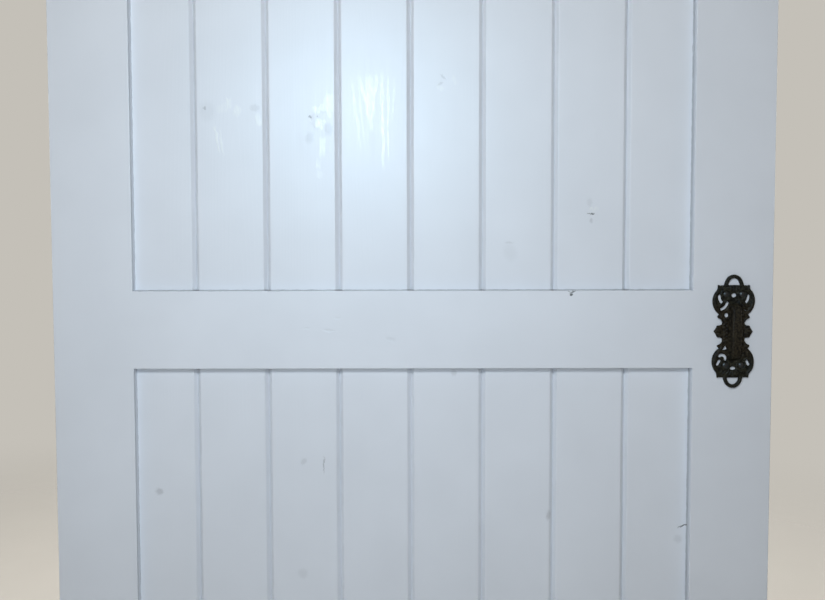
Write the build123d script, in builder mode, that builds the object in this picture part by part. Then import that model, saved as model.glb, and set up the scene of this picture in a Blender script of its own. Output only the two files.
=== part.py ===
from build123d import *
import os
from math import cos, radians

# Sliding barn door in millimetres: a framed and boarded leaf hung on a flat steel track.
# X runs along the wall to the right, Y from the room into the wall, Z up from the floor.
# The origin is on the floor at the middle of the floor guide, under the middle of the track.
# The leaf is drawn closed, at the right-hand end of its travel.

# Leaf
door_width = 1067.0
door_height = 2134.0
door_thickness = 44.0
floor_gap = 10.0
guide_overlap = 67.0
edge_round = 1.6

# Frame of the leaf
stile_width = 118.5
top_rail_height = 118.5
lock_rail_height = 115.5
bottom_rail_height = 190.0
lock_rail_above_floor = 1010.0
plough_depth = 14.0
joint_gap = 1.0

# Tongued, grooved and V-jointed boards
board_pitch = 107.1
board_shift = -2.8
narrowest_board = 30.0
board_thickness = 18.0
board_play = 0.1
board_seam = 0.3
vee_depth = 5.0
tongue_length = 6.5
tongue_thickness = 6.0
tongue_play = 0.1
tongue_end_gap = 0.5

# Flat track on the wall
wall_gap = 16.0
track_height = 40.0
track_thickness = 6.0
track_clearance = 14.0
track_end_margin = 16.45
track_edge_round = 0.8
lag_count = 6
lag_end_distance = 67.0
spacer_radius = 10.0

# Lag screws that hold the track
lag_shank_radius = 4.0
lag_hole_gap = 0.5
lag_thread_radius = 3.5
lag_thread_length = 44.0
lag_tip_length = 6.0
lag_tip_radius = 0.8
lag_head_flats = 13.0
lag_head_height = 5.5
lag_washer_radius = 9.0
lag_washer_thickness = 2.0

# Wheels and their axles
wheel_flange_radius = 38.0
wheel_root_radius = 30.0
wheel_width = 22.0
wheel_standoff = 3.0
wheel_seat_gap = 0.2
groove_side_gap = 0.5
groove_flare = 1.0
wheel_rim_inner_radius = 25.0
wheel_web_thickness = 8.0
wheel_edge_chamfer = 1.2
wheel_hub_radius = 19.0
hub_collar = 2.0
hub_bore_radius = 11.0
bearing_radius = 14.0
bearing_width = 8.0
bearing_seal_depth = 0.5
bearing_ring_wall = 2.5
bearing_play = 0.02
axle_radius = 6.0
axle_running_gap = 0.05
axle_hole_gap = 0.1
axle_head_flats = 19.0
axle_head_height = 7.5
axle_nut_flats = 18.0
axle_nut_height = 10.0
axle_end = 1.5
axle_spacer_radius = 8.5
axle_side_gap = 0.2

# Strap hangers
strap_width = 40.0
strap_thickness = 6.0
strap_on_door = 180.0
strap_corner = 8.0
strap_edge_round = 0.8
strap_bolt_from_top = 40.0
strap_bolt_spacing = 100.0
strap_bolt_radius = 5.0
strap_bolt_gap = 0.25
strap_bolt_head_flats = 17.0
strap_bolt_head_height = 6.5
strap_nut_height = 8.0
strap_washer_radius = 10.0
strap_washer_thickness = 2.0
strap_bolt_end = 2.0
hex_chamfer = 0.8
nut_thread_gap = 0.05

# End stops on the track
stop_length = 30.0
stop_depth = 26.0
stop_straddle = 18.0
stop_above_axle = 14.0
stop_slot_gap = 0.1
stop_round = 4.0
bumper_radius = 10.0
bumper_length = 8.0
bumper_round = 2.5
bumper_gap = 0.3
bumper_stem_radius = 4.0
bumper_stem_length = 8.0
bumper_stem_gap = 0.05
grub_radius = 3.0
grub_gap = 0.05
grub_spacing = 14.0
grub_above_slot_mouth = 9.0
grub_set_back = 0.5
grub_socket_flats = 3.0
grub_socket_depth = 3.0

# Discs on top of the leaf that keep the wheels on the track
disc_radius = 13.0
disc_height = 10.0
disc_from_hanger = 30.0
disc_edge_chamfer = 1.0
disc_screw_radius = 2.4
disc_screw_head_radius = 5.0
disc_screw_head_height = 3.0
disc_screw_sunk = 0.5
disc_screw_length = 38.0

# Floor guide and the slot that runs over it
guide_plate_length = 72.0
guide_plate_width = 30.0
guide_plate_thickness = 3.0
guide_plate_corner = 5.0
guide_fin_length = 38.0
guide_fin_thickness = 6.0
guide_fin_in_slot = 16.0
guide_fin_round = 2.5
guide_slot_gap = 0.5
guide_slot_depth = 20.0
guide_hole_spacing = 54.0
guide_hole_radius = 2.25
guide_sink_radius = 4.2

# Cast pull handle on the right-hand stile, its outline measured from its own centre
handle_below_rail_middle = 3.0
plate_thickness = 3.5
handle_half_height = 84.0
lobe_half_width = 31.0
lobe_height = 46.0
lobe_foot_half_width = 21.0
lobe_foot_height = 25.2
lobe_crown_half_width = 24.6
lobe_crown_height = 61.0
horn_half_width = 23.8
horn_height = 69.6
horn_width = 7.0
horn_drop = 1.4
horn_curl = 0.7
spur_half_width = 24.8
spur_height = 21.2
spur_curl = 0.7
waist_half_width = 16.4
waist_height = 10.6
waist_top = 18.0
leaf_half_width = 29.0
leaf_barb_half_width = 24.0
leaf_barb_height = 8.6
leaf_scallop = 0.7
tip_round = 0.9
loop_half_width = 14.3
loop_height = 18.0
loop_bar = 5.2
loop_sill = 2.6

# Openings pierced through the casting's scrolls
scroll_slot_width = 4.4
upper_heart = (3.7, 3.1)
upper_heart_height = 53.5
upper_crescent = [(21.2, 52.5), (20.2, 46.6), (16.8, 42.0)]
upper_scroll = [(9.4, 42.4), (12.6, 36.4), (17.8, 33.0)]
upper_eye = (3.0, 3.4)
upper_eye_centre = (10.6, 24.0)
lower_heart = (4.3, 2.5)
lower_heart_height = -54.7
lower_leaf = [(11.1, -20.4), (16.7, -28.0), (8.9, -26.6)]
lower_hook = [(19.6, -36.4), (14.6, -35.4), (11.4, -41.4)]
lower_slot = [(19.8, -43.8), (22.9, -48.8)]

# Grip and screws of the handle
grip_half_span = 41.0
grip_rise = 19.5
grip_shoulder_rise = 16.5
grip_shoulder_round = 13.0
grip_bar = 6.0
grip_foot = 9.0
grip_half_width = 7.4
grip_neck_half_width = 6.2
grip_neck_height = 24.0
grip_foot_half_width = 7.8
grip_foot_flare = 0.25
grip_round = 2.0
handle_screw_spread = 11.8
handle_screw_above = 55.0
handle_screw_below = 50.0
handle_screw_radius = 2.0
handle_screw_head_radius = 4.1
handle_screw_dome = 1.7
handle_screw_rim = 0.17
handle_screw_length = 26.0
screw_hole_gap = 0.1

# Places that follow from the sizes above
travel = door_width - guide_overlap
door_x = travel / 2
door_front = -door_thickness / 2
door_back = door_thickness / 2
wall_face = door_back + wall_gap
door_bottom = floor_gap
door_top = door_bottom + door_height
left_edge = door_x - door_width / 2
right_edge = door_x + door_width / 2
left_stile_x = left_edge + stile_width / 2
right_stile_x = right_edge - stile_width / 2
opening_left = left_edge + stile_width
opening_right = right_edge - stile_width
plough_width = board_thickness + 2 * board_play
tuck = plough_depth - joint_gap
hangers = {"left": (left_stile_x, 1), "right": (right_stile_x, -1)}

strap_front = door_front - strap_thickness
track_y = door_front + wheel_standoff + wheel_width / 2
track_front = track_y - track_thickness / 2
track_back = track_y + track_thickness / 2
track_bottom = door_top + track_clearance
track_top = track_bottom + track_height
track_middle_z = (track_bottom + track_top) / 2
axle_z = track_top + wheel_root_radius + wheel_seat_gap
bearing_front = track_y - bearing_width / 2
bearing_back = track_y + bearing_width / 2

bumper_face = right_stile_x + wheel_flange_radius + bumper_gap
stop_inner = bumper_face + bumper_length
stop_outer = stop_inner + stop_length
track_half_length = stop_outer + track_end_margin
lag_outer_x = track_half_length - lag_end_distance
lag_step = 2 * lag_outer_x / (lag_count - 1)
lag_places = [(-lag_outer_x + i * lag_step, track_middle_z) for i in range(lag_count)]

os.makedirs("parts", exist_ok=True)


def keep(piece, name):
    """Label a finished piece and write it as one STEP file."""
    piece.part.label = name
    export_step(piece.part, f"parts/{name}.step")


def facing_room(y):
    """The upright plane at depth y, drawn in X and Z, with its normal towards the room."""
    return Plane.XZ.offset(-y)


def across(x):
    """The upright plane across the wall at x, drawn in Y and Z, with its normal along +X."""
    return Plane.YZ.offset(x)


def level(z):
    """The flat plane at height z, drawn in X and Y, with its normal upwards."""
    return Plane.XY.offset(z)


# Stiles: ploughed on the inner edge, bored for the hanger bolts and slotted below
guide_slot_width = guide_fin_thickness + 2 * guide_slot_gap
strap_bolt_upper = door_top - strap_bolt_from_top
strap_bolt_lower = strap_bolt_upper - strap_bolt_spacing
handle_x = right_stile_x
handle_z = lock_rail_above_floor - handle_below_rail_middle
handle_screw_places = [
    (handle_x + side * handle_screw_spread, handle_z + height)
    for side in (-1, 1)
    for height in (handle_screw_above, -handle_screw_below)
]
disc_places = {side: (x + inward * disc_from_hanger, track_y) for side, (x, inward) in hangers.items()}


def stile(side):
    """One stile, with the handle's screw holes in the right-hand one."""
    centre_x, inward = hangers[side]
    with BuildPart() as piece:
        with BuildSketch(level(door_bottom)):
            with Locations((centre_x, 0)):
                Rectangle(stile_width, door_thickness)
            with Locations((centre_x + inward * (stile_width - plough_depth) / 2, 0)):
                Rectangle(plough_depth, plough_width, mode=Mode.SUBTRACT)
        extrude(amount=door_height)
        outer_face = piece.faces().sort_by(Axis.X)[0 if inward > 0 else -1]
        fillet(outer_face.edges().filter_by(Axis.Z), edge_round)
        with BuildSketch(across(centre_x)):
            with Locations((0, door_bottom + guide_slot_depth / 2)):
                Rectangle(guide_slot_width, guide_slot_depth)
        extrude(amount=stile_width / 2, both=True, mode=Mode.SUBTRACT)
        with BuildSketch(facing_room(door_back)):
            with Locations((centre_x, strap_bolt_upper), (centre_x, strap_bolt_lower)):
                Circle(strap_bolt_radius + strap_bolt_gap)
        extrude(amount=door_thickness, mode=Mode.SUBTRACT)
        with BuildSketch(level(door_top)):
            with Locations(disc_places[side]):
                Circle(disc_screw_radius + screw_hole_gap)
        extrude(amount=disc_height - disc_screw_sunk - disc_screw_length, mode=Mode.SUBTRACT)
        if side == "right":
            with BuildSketch(facing_room(door_front)):
                with Locations(*handle_screw_places):
                    Circle(handle_screw_radius + screw_hole_gap)
            extrude(amount=plate_thickness - handle_screw_length, mode=Mode.SUBTRACT)
    return piece


for side in hangers:
    keep(stile(side), f"{side}_stile")


# Rails: a stub tenon at each end, and a plough on each edge that faces a panel
def rail(bottom, height, ploughed_above, ploughed_below, slotted=False):
    """One rail between the stiles, slotted along its foot where it runs over the guide."""
    top = bottom + height
    length = opening_right - opening_left
    tenon_top = top - (plough_depth if ploughed_above else 0)
    tenon_bottom = bottom + (plough_depth if ploughed_below else 0)
    with BuildPart() as piece:
        with BuildSketch(across(opening_left)):
            with Locations((0, (bottom + top) / 2)):
                Rectangle(door_thickness, height)
            if ploughed_above:
                with Locations((0, top - plough_depth / 2)):
                    Rectangle(plough_width, plough_depth, mode=Mode.SUBTRACT)
            if ploughed_below:
                with Locations((0, bottom + plough_depth / 2)):
                    Rectangle(plough_width, plough_depth, mode=Mode.SUBTRACT)
        extrude(amount=length)
        with BuildSketch(across(opening_left - tuck)):
            with Locations((0, (tenon_bottom + tenon_top) / 2)):
                Rectangle(board_thickness, tenon_top - tenon_bottom)
        extrude(amount=length + 2 * tuck)
        if slotted:
            with BuildSketch(across(opening_left - tuck)):
                with Locations((0, bottom + guide_slot_depth / 2)):
                    Rectangle(guide_slot_width, guide_slot_depth)
            extrude(amount=length + 2 * tuck, mode=Mode.SUBTRACT)
    return piece


lock_rail_bottom = lock_rail_above_floor - lock_rail_height / 2
lock_rail_top = lock_rail_above_floor + lock_rail_height / 2
top_rail_bottom = door_top - top_rail_height
bottom_rail_top = door_bottom + bottom_rail_height

keep(rail(top_rail_bottom, top_rail_height, False, True), "top_rail")
keep(rail(lock_rail_bottom, lock_rail_height, True, True), "lock_rail")
keep(rail(door_bottom, bottom_rail_height, True, False, slotted=True), "bottom_rail")

# Boards: their joints stand one pitch apart, and the outer boards run into the stiles
half_opening = (opening_right - opening_left) / 2
joints_each_side = int((half_opening - abs(board_shift) - narrowest_board) // board_pitch)
joints = [
    door_x + board_shift + i * board_pitch
    for i in range(-joints_each_side, joints_each_side + 1)
]
board_lefts = [opening_left - tuck] + [x + board_seam / 2 for x in joints]
board_rights = [x - board_seam / 2 for x in joints] + [opening_right + tuck]
tongue_slot_depth = tongue_length + tongue_end_gap - board_seam


def board(number, bottom, top):
    """One upright board: groove on its left edge, tongue on its right, V-jointed both sides."""
    left, right = board_lefts[number], board_rights[number]
    has_groove = number > 0
    has_tongue = number < len(joints)
    with BuildPart() as piece:
        with BuildSketch(level(bottom - tuck)) as section:
            with Locations(((left + right) / 2, 0)):
                Rectangle(right - left, board_thickness)
            corners = section.vertices().group_by(Axis.X)
            jointed = (corners[0] if has_groove else []) + (corners[-1] if has_tongue else [])
            chamfer(jointed, vee_depth)
            if has_tongue:
                with Locations((right + tongue_length / 2, 0)):
                    Rectangle(tongue_length, tongue_thickness)
            if has_groove:
                with Locations((left + tongue_slot_depth / 2, 0)):
                    Rectangle(tongue_slot_depth, tongue_thickness + 2 * tongue_play, mode=Mode.SUBTRACT)
        extrude(amount=top - bottom + 2 * tuck)
    return piece


panels = {
    "lower": (bottom_rail_top, lock_rail_bottom),
    "upper": (lock_rail_top, top_rail_bottom),
}
for panel, (panel_bottom, panel_top) in panels.items():
    for number in range(len(joints) + 1):
        keep(board(number, panel_bottom, panel_top), f"{panel}_board_{number + 1}")

# Pull handle: one iron casting, a pierced plate with an arched grip on its middle.
# The plate's edge is drawn as a quarter outline, mirrored to the left and downwards.
handle_face = Plane((handle_x, door_front, handle_z), x_dir=(1, 0, 0), z_dir=(0, -1, 0))
handle_side = Plane((handle_x, door_front, handle_z), x_dir=(0, 0, 1), z_dir=(1, 0, 0))
loop_foot = handle_half_height - loop_height

with BuildPart() as grip:
    for inset, lowered, mode in ((0, 0, Mode.ADD), (grip_foot, grip_bar, Mode.SUBTRACT)):
        foot = grip_half_span - inset
        shoulder = grip_shoulder_rise - lowered
        with BuildSketch(handle_side) as outline:
            with BuildLine():
                crown = ThreePointArc((-foot, shoulder), (0, grip_rise - lowered), (foot, shoulder))
                Polyline(crown @ 1, (foot, 0), (-foot, 0), crown @ 0)
            make_face()
            shoulders = outline.vertices().group_by(Axis.Y)[-1]
            fillet(shoulders, grip_shoulder_round - lowered)
        extrude(amount=max(grip_half_width, grip_foot_half_width), both=True, mode=mode)
    with BuildSketch(handle_face):
        with BuildLine():
            flank = Spline(
                (grip_half_width, 0),
                (grip_neck_half_width, grip_neck_height),
                (grip_foot_half_width, grip_half_span),
                tangents=[(0, 1), (grip_foot_flare, 1)],
            )
            Line((0, 0), flank @ 0)
            Line(flank @ 1, (0, grip_half_span))
            Line((0, grip_half_span), (0, 0))
        make_face()
        mirror(about=Plane.YZ)
        mirror(about=Plane.XZ)
    extrude(amount=grip_rise, mode=Mode.INTERSECT)
    long_edges = [
        edge
        for edge in grip.edges()
        if edge.center().Y < door_front - plate_thickness / 2 and edge.bounding_box().size.X < grip_half_width
    ]
    fillet(long_edges, grip_round)

scroll_routes = [ThreePointArc(*route) for route in (upper_crescent, upper_scroll, lower_hook)]
scroll_routes.append(Line(*lower_slot))
with BuildPart() as pull_handle:
    with BuildSketch(handle_face):
        with Locations((0, loop_foot)):
            Ellipse(loop_half_width, loop_height)
            Ellipse(loop_half_width - loop_bar, loop_height - loop_bar, mode=Mode.SUBTRACT)
        with BuildLine():
            leaf_tip = (leaf_half_width, 0)
            leaf_barb = (leaf_barb_half_width, leaf_barb_height)
            waist_foot = (waist_half_width, waist_height)
            waist_head = (waist_half_width, waist_top)
            spur_tip = (spur_half_width, spur_height)
            lobe_foot = (lobe_foot_half_width, lobe_foot_height)
            lobe_crown = (lobe_crown_half_width, lobe_crown_height)
            horn_tip = (horn_half_width, horn_height)
            horn_foot = (horn_half_width - horn_width, horn_height - horn_drop)
            sill = (0, loop_foot + loop_sill)
            Line((0, 0), leaf_tip)
            SagittaArc(leaf_tip, leaf_barb, leaf_scallop)
            SagittaArc(leaf_barb, waist_foot, leaf_scallop)
            Line(waist_foot, waist_head)
            SagittaArc(waist_head, spur_tip, spur_curl)
            Line(spur_tip, lobe_foot)
            ThreePointArc(lobe_foot, (lobe_half_width, lobe_height), lobe_crown)
            SagittaArc(lobe_crown, horn_tip, horn_curl)
            SagittaArc(horn_tip, horn_foot, horn_curl)
            Line(horn_foot, sill)
            Line(sill, (0, 0))
        make_face()
        mirror(about=Plane.YZ)
        mirror(about=Plane.XZ)
    extrude(amount=plate_thickness)
    tips = [
        edge
        for edge in pull_handle.edges().filter_by(Axis.Y)
        for x, z in (leaf_tip, leaf_barb, spur_tip, horn_tip)
        if abs(abs(edge.center().X - handle_x) - x) < tip_round
        and abs(abs(edge.center().Z - handle_z) - z) < tip_round
    ]
    fillet(tips, tip_round)
    with BuildSketch(handle_face):
        with Locations((0, upper_heart_height)):
            Ellipse(*upper_heart)
        with Locations((0, lower_heart_height)):
            Ellipse(*lower_heart)
        with Locations(upper_eye_centre):
            Ellipse(*upper_eye)
        for route in scroll_routes:
            SlotArc(route, scroll_slot_width)
        Polygon(*lower_leaf, align=None)
        mirror(about=Plane.YZ)
    extrude(amount=plate_thickness, mode=Mode.SUBTRACT)
    add(grip.part)
    with BuildSketch(handle_face):
        with Locations(*[(x - handle_x, z - handle_z) for x, z in handle_screw_places]):
            Circle(handle_screw_radius + screw_hole_gap)
    extrude(amount=plate_thickness, mode=Mode.SUBTRACT)
keep(pull_handle, "pull_handle")

with BuildPart() as handle_screws:
    with BuildSketch(facing_room(door_front - plate_thickness)):
        with Locations(*handle_screw_places):
            Circle(handle_screw_head_radius)
    extrude(amount=handle_screw_dome)
    heads = handle_screws.faces().group_by(Axis.Y)[0]
    fillet(heads.edges(), handle_screw_dome - handle_screw_rim)
    with BuildSketch(facing_room(door_front - plate_thickness)):
        with Locations(*handle_screw_places):
            Circle(handle_screw_radius)
    extrude(amount=-handle_screw_length)
keep(handle_screws, "handle_screws")


# Hexagon bolts, nuts and washers, each made for all its places at once
def hexagon(face_y, places, flats, height):
    """Hexagons standing out from face_y towards the room, bevelled at their outer corners."""
    corner_radius = flats / 2 / cos(radians(30))
    with BuildPart() as piece:
        with BuildSketch(facing_room(face_y)):
            with Locations(*places):
                Circle(corner_radius)
        extrude(amount=height)
        fronts = piece.faces().group_by(Axis.Y)[0]
        chamfer(fronts.edges(), hex_chamfer)
        with BuildSketch(facing_room(face_y)):
            with Locations(*places):
                RegularPolygon(flats / 2, 6, major_radius=False, rotation=30)
        extrude(amount=height, mode=Mode.INTERSECT)
    return piece


def hex_bolts(seat_y, places, shank_radius, end_y, flats, head_height):
    """Bolts whose heads sit on seat_y and whose shanks end at end_y."""
    with BuildPart() as piece:
        add(hexagon(seat_y, places, flats, head_height).part)
        with BuildSketch(facing_room(seat_y)):
            with Locations(*places):
                Circle(shank_radius)
        extrude(amount=seat_y - end_y)
    return piece


def hex_nuts(seat_y, places, bolt_radius, flats, height):
    """Nuts whose front faces sit on seat_y, with their bevels to the wall."""
    with BuildPart() as piece:
        add(hexagon(seat_y + height, places, flats, height).part)
        with BuildSketch(facing_room(seat_y + height)):
            with Locations(*places):
                Circle(bolt_radius + nut_thread_gap)
        extrude(amount=height, mode=Mode.SUBTRACT)
    return piece


def rings(front_y, places, outer_radius, inner_radius, thickness):
    """Washers, spacers and other rings between front_y and front_y + thickness."""
    with BuildPart() as piece:
        with BuildSketch(facing_room(front_y + thickness)):
            with Locations(*places):
                Circle(outer_radius)
                Circle(inner_radius, mode=Mode.SUBTRACT)
        extrude(amount=thickness)
    return piece


# Strap hangers on the front of the stiles
def strap(centre_x):
    """One flat strap, round at the axle and bored for it and for its two door bolts."""
    strap_foot = door_top - strap_on_door
    with BuildPart() as piece:
        with BuildSketch(facing_room(door_front)) as outline:
            with Locations((centre_x, (strap_foot + axle_z) / 2)):
                Rectangle(strap_width, axle_z - strap_foot)
            feet = outline.vertices().group_by(Axis.Y)[0]
            fillet(feet, strap_corner)
            with Locations((centre_x, axle_z)):
                Circle(strap_width / 2)
                Circle(axle_radius + axle_hole_gap, mode=Mode.SUBTRACT)
            with Locations((centre_x, strap_bolt_upper), (centre_x, strap_bolt_lower)):
                Circle(strap_bolt_radius + strap_bolt_gap, mode=Mode.SUBTRACT)
        extrude(amount=strap_thickness)
        front = piece.faces().sort_by(Axis.Y)[0]
        fillet(front.outer_wire().edges(), strap_edge_round)
    return piece


strap_bolt_places = [(x, z) for x, _ in hangers.values() for z in (strap_bolt_upper, strap_bolt_lower)]
strap_nut_seat = door_back + strap_washer_thickness
strap_bolt_tip = strap_nut_seat + strap_nut_height + strap_bolt_end
for side, (x, _) in hangers.items():
    keep(strap(x), f"{side}_hanger_strap")
keep(
    hex_bolts(
        strap_front,
        strap_bolt_places,
        strap_bolt_radius,
        strap_bolt_tip,
        strap_bolt_head_flats,
        strap_bolt_head_height,
    ),
    "hanger_bolts",
)
keep(
    rings(
        door_back,
        strap_bolt_places,
        strap_washer_radius,
        strap_bolt_radius + strap_bolt_gap,
        strap_washer_thickness,
    ),
    "hanger_washers",
)
keep(
    hex_nuts(strap_nut_seat, strap_bolt_places, strap_bolt_radius, strap_bolt_head_flats, strap_nut_height),
    "hanger_nuts",
)


# Wheels, bearings and axles, turned about the axle
def turned(x, points):
    """A ring turned about the axle at x. Points are (from the track's middle, radius)."""
    with BuildPart() as piece:
        with BuildSketch(across(x)):
            with BuildLine():
                Polyline(*[(track_y + along, axle_z + radius) for along, radius in points], close=True)
            make_face()
        revolve(axis=Axis((x, track_y, axle_z), (0, 1, 0)))
    return piece


groove_floor = track_thickness / 2 + groove_side_gap
groove_mouth = groove_floor + groove_flare
rim = wheel_width / 2
web = wheel_web_thickness / 2
hub = bearing_width / 2 + hub_collar
seat = bearing_width / 2
pocket_radius = bearing_radius + bearing_play
bevel = wheel_edge_chamfer
wheel_section = [
    (-rim, wheel_rim_inner_radius),
    (-rim, wheel_flange_radius - bevel),
    (bevel - rim, wheel_flange_radius),
    (-groove_mouth, wheel_flange_radius),
    (-groove_floor, wheel_root_radius),
    (groove_floor, wheel_root_radius),
    (groove_mouth, wheel_flange_radius),
    (rim - bevel, wheel_flange_radius),
    (rim, wheel_flange_radius - bevel),
    (rim, wheel_rim_inner_radius),
    (web, wheel_rim_inner_radius),
    (web, wheel_hub_radius),
    (hub, wheel_hub_radius),
    (hub, hub_bore_radius),
    (seat, hub_bore_radius),
    (seat, pocket_radius),
    (-hub, pocket_radius),
    (-hub, wheel_hub_radius),
    (-web, wheel_hub_radius),
    (-web, wheel_rim_inner_radius),
]
bearing_bore = axle_radius + axle_running_gap
inner_ring = bearing_bore + bearing_ring_wall
outer_ring = bearing_radius - bearing_ring_wall
seal = seat - bearing_seal_depth
bearing_section = [
    (-seat, bearing_bore),
    (-seat, inner_ring),
    (-seal, inner_ring),
    (-seal, outer_ring),
    (-seat, outer_ring),
    (-seat, bearing_radius),
    (seat, bearing_radius),
    (seat, outer_ring),
    (seal, outer_ring),
    (seal, inner_ring),
    (seat, inner_ring),
    (seat, bearing_bore),
]
axle_nut_seat = bearing_back + axle_side_gap
axle_tip = axle_nut_seat + axle_nut_height + axle_end
for side, (x, _) in hangers.items():
    axle_place = [(x, axle_z)]
    keep(turned(x, wheel_section), f"{side}_wheel")
    keep(turned(x, bearing_section), f"{side}_wheel_bearing")
    keep(
        hex_bolts(strap_front, axle_place, axle_radius, axle_tip, axle_head_flats, axle_head_height),
        f"{side}_axle_bolt",
    )
    keep(
        rings(
            door_front,
            axle_place,
            axle_spacer_radius,
            axle_radius + axle_hole_gap,
            bearing_front - axle_side_gap - door_front,
        ),
        f"{side}_axle_spacer",
    )
    keep(
        hex_nuts(axle_nut_seat, axle_place, axle_radius, axle_nut_flats, axle_nut_height),
        f"{side}_axle_nut",
    )


# Discs screwed to the top of the leaf, under the track
for side, place in disc_places.items():
    with BuildPart() as disc:
        with BuildSketch(level(door_top)):
            with Locations(place):
                Circle(disc_radius)
        extrude(amount=disc_height)
        chamfer(disc.faces().sort_by(Axis.Z)[-1].edges(), disc_edge_chamfer)
        with BuildSketch(level(door_top)):
            with Locations(place):
                Circle(disc_screw_radius + screw_hole_gap)
        extrude(amount=disc_height, mode=Mode.SUBTRACT)
        with BuildSketch(level(door_top + disc_height)):
            with Locations(place):
                Circle(disc_screw_head_radius + screw_hole_gap)
        extrude(amount=-disc_screw_head_height - disc_screw_sunk, mode=Mode.SUBTRACT)
    keep(disc, f"{side}_jump_disc")

with BuildPart() as disc_screws:
    with BuildSketch(level(door_top + disc_height - disc_screw_sunk)):
        with Locations(*disc_places.values()):
            Circle(disc_screw_head_radius)
    extrude(amount=-disc_screw_head_height)
    with BuildSketch(level(door_top + disc_height - disc_screw_sunk)):
        with Locations(*disc_places.values()):
            Circle(disc_screw_radius)
    extrude(amount=-disc_screw_length)
keep(disc_screws, "disc_screws")

# Track: one flat bar, bored for the lag screws and held off the wall by round spacers
with BuildPart() as track_rail:
    with BuildSketch(facing_room(track_back)):
        with Locations((0, track_middle_z)):
            Rectangle(2 * track_half_length, track_height)
        with Locations(*lag_places):
            Circle(lag_shank_radius + lag_hole_gap, mode=Mode.SUBTRACT)
    extrude(amount=track_thickness)
    ends = track_rail.faces().sort_by(Axis.X)
    fillet(ends[0].edges().filter_by(Axis.Y) + ends[-1].edges().filter_by(Axis.Y), track_edge_round)
keep(track_rail, "track_rail")

for number, place in enumerate(lag_places):
    keep(
        rings(
            track_back,
            [place],
            spacer_radius,
            lag_shank_radius + lag_hole_gap,
            wall_face - track_back,
        ),
        f"track_spacer_{number + 1}",
    )
keep(
    rings(
        track_front - lag_washer_thickness,
        lag_places,
        lag_washer_radius,
        lag_shank_radius + lag_hole_gap,
        lag_washer_thickness,
    ),
    "lag_washers",
)

with BuildPart() as lag_screws:
    lag_seat = track_front - lag_washer_thickness
    thread_end = wall_face + lag_thread_length
    add(hex_bolts(lag_seat, lag_places, lag_shank_radius, wall_face, lag_head_flats, lag_head_height).part)
    with BuildSketch(facing_room(wall_face)):
        with Locations(*lag_places):
            Circle(lag_thread_radius)
    extrude(amount=-lag_thread_length)
    for x, z in lag_places:
        with BuildSketch(facing_room(thread_end)):
            with Locations((x, z)):
                Circle(lag_thread_radius)
        with BuildSketch(facing_room(thread_end + lag_tip_length)):
            with Locations((x, z)):
                Circle(lag_tip_radius)
        loft()
keep(lag_screws, "lag_screws")

# End stops: blocks that straddle the track, each with a rubber bumper and two grub screws
stop_foot = track_top - stop_straddle
stop_top = axle_z + stop_above_axle
stop_front = track_y - stop_depth / 2
grub_front = stop_front + grub_set_back
grub_z = stop_foot + grub_above_slot_mouth
grub_places = []
for side, outward in (("left", -1), ("right", 1)):
    inner_x = outward * stop_inner
    middle_x = outward * (stop_inner + stop_outer) / 2
    face = Plane((inner_x, track_y, axle_z), x_dir=(0, 1, 0), z_dir=(-outward, 0, 0))
    grubs = [(middle_x - grub_spacing / 2, grub_z), (middle_x + grub_spacing / 2, grub_z)]
    grub_places += grubs
    with BuildPart() as stop:
        with BuildSketch(facing_room(stop_front + stop_depth)):
            with Locations((middle_x, (stop_foot + stop_top) / 2)):
                Rectangle(stop_length, stop_top - stop_foot)
        extrude(amount=stop_depth)
        fillet(stop.faces().sort_by(Axis.Z)[-1].edges().filter_by(Axis.Y), stop_round)
        with BuildSketch(facing_room(track_back + stop_slot_gap)):
            with Locations((middle_x, (stop_foot + track_top + stop_slot_gap) / 2)):
                Rectangle(stop_length, stop_straddle + stop_slot_gap)
        extrude(amount=track_thickness + 2 * stop_slot_gap, mode=Mode.SUBTRACT)
        with BuildSketch(face):
            Circle(bumper_stem_radius + bumper_stem_gap)
        extrude(amount=-bumper_stem_length, mode=Mode.SUBTRACT)
        with BuildSketch(facing_room(stop_front)):
            with Locations(*grubs):
                Circle(grub_radius + grub_gap)
        extrude(amount=stop_front - track_front + stop_slot_gap, mode=Mode.SUBTRACT)
    keep(stop, f"{side}_stop")
    with BuildPart() as bumper:
        with BuildSketch(face):
            Circle(bumper_radius)
        extrude(amount=bumper_length)
        nose = bumper.faces().sort_by(Axis.X)[0 if outward > 0 else -1]
        fillet(nose.edges(), bumper_round)
        with BuildSketch(face):
            Circle(bumper_stem_radius)
        extrude(amount=-bumper_stem_length)
    keep(bumper, f"{side}_bumper")

with BuildPart() as stop_grub_screws:
    with BuildSketch(facing_room(track_front)):
        with Locations(*grub_places):
            Circle(grub_radius)
    extrude(amount=track_front - grub_front)
    with BuildSketch(facing_room(grub_front)):
        with Locations(*grub_places):
            RegularPolygon(grub_socket_flats / 2, 6, major_radius=False)
    extrude(amount=-grub_socket_depth, mode=Mode.SUBTRACT)
keep(stop_grub_screws, "stop_grub_screws")

# Floor guide: a plate on the floor with a fin that stands in the leaf's slot
with BuildPart() as floor_guide:
    with BuildSketch(level(0)):
        RectangleRounded(guide_plate_length, guide_plate_width, guide_plate_corner)
    extrude(amount=guide_plate_thickness)
    with BuildSketch(level(guide_plate_thickness)):
        RectangleRounded(guide_fin_length, guide_fin_thickness, guide_fin_round)
    extrude(amount=door_bottom + guide_fin_in_slot - guide_plate_thickness)
    with Locations(Plane.XY.offset(guide_plate_thickness)):
        with GridLocations(guide_hole_spacing, 0, 2, 1):
            CounterSinkHole(guide_hole_radius, guide_sink_radius, depth=guide_plate_thickness)
keep(floor_guide, "floor_guide")
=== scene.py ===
from math import asin, cos, radians, sin, tau

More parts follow.
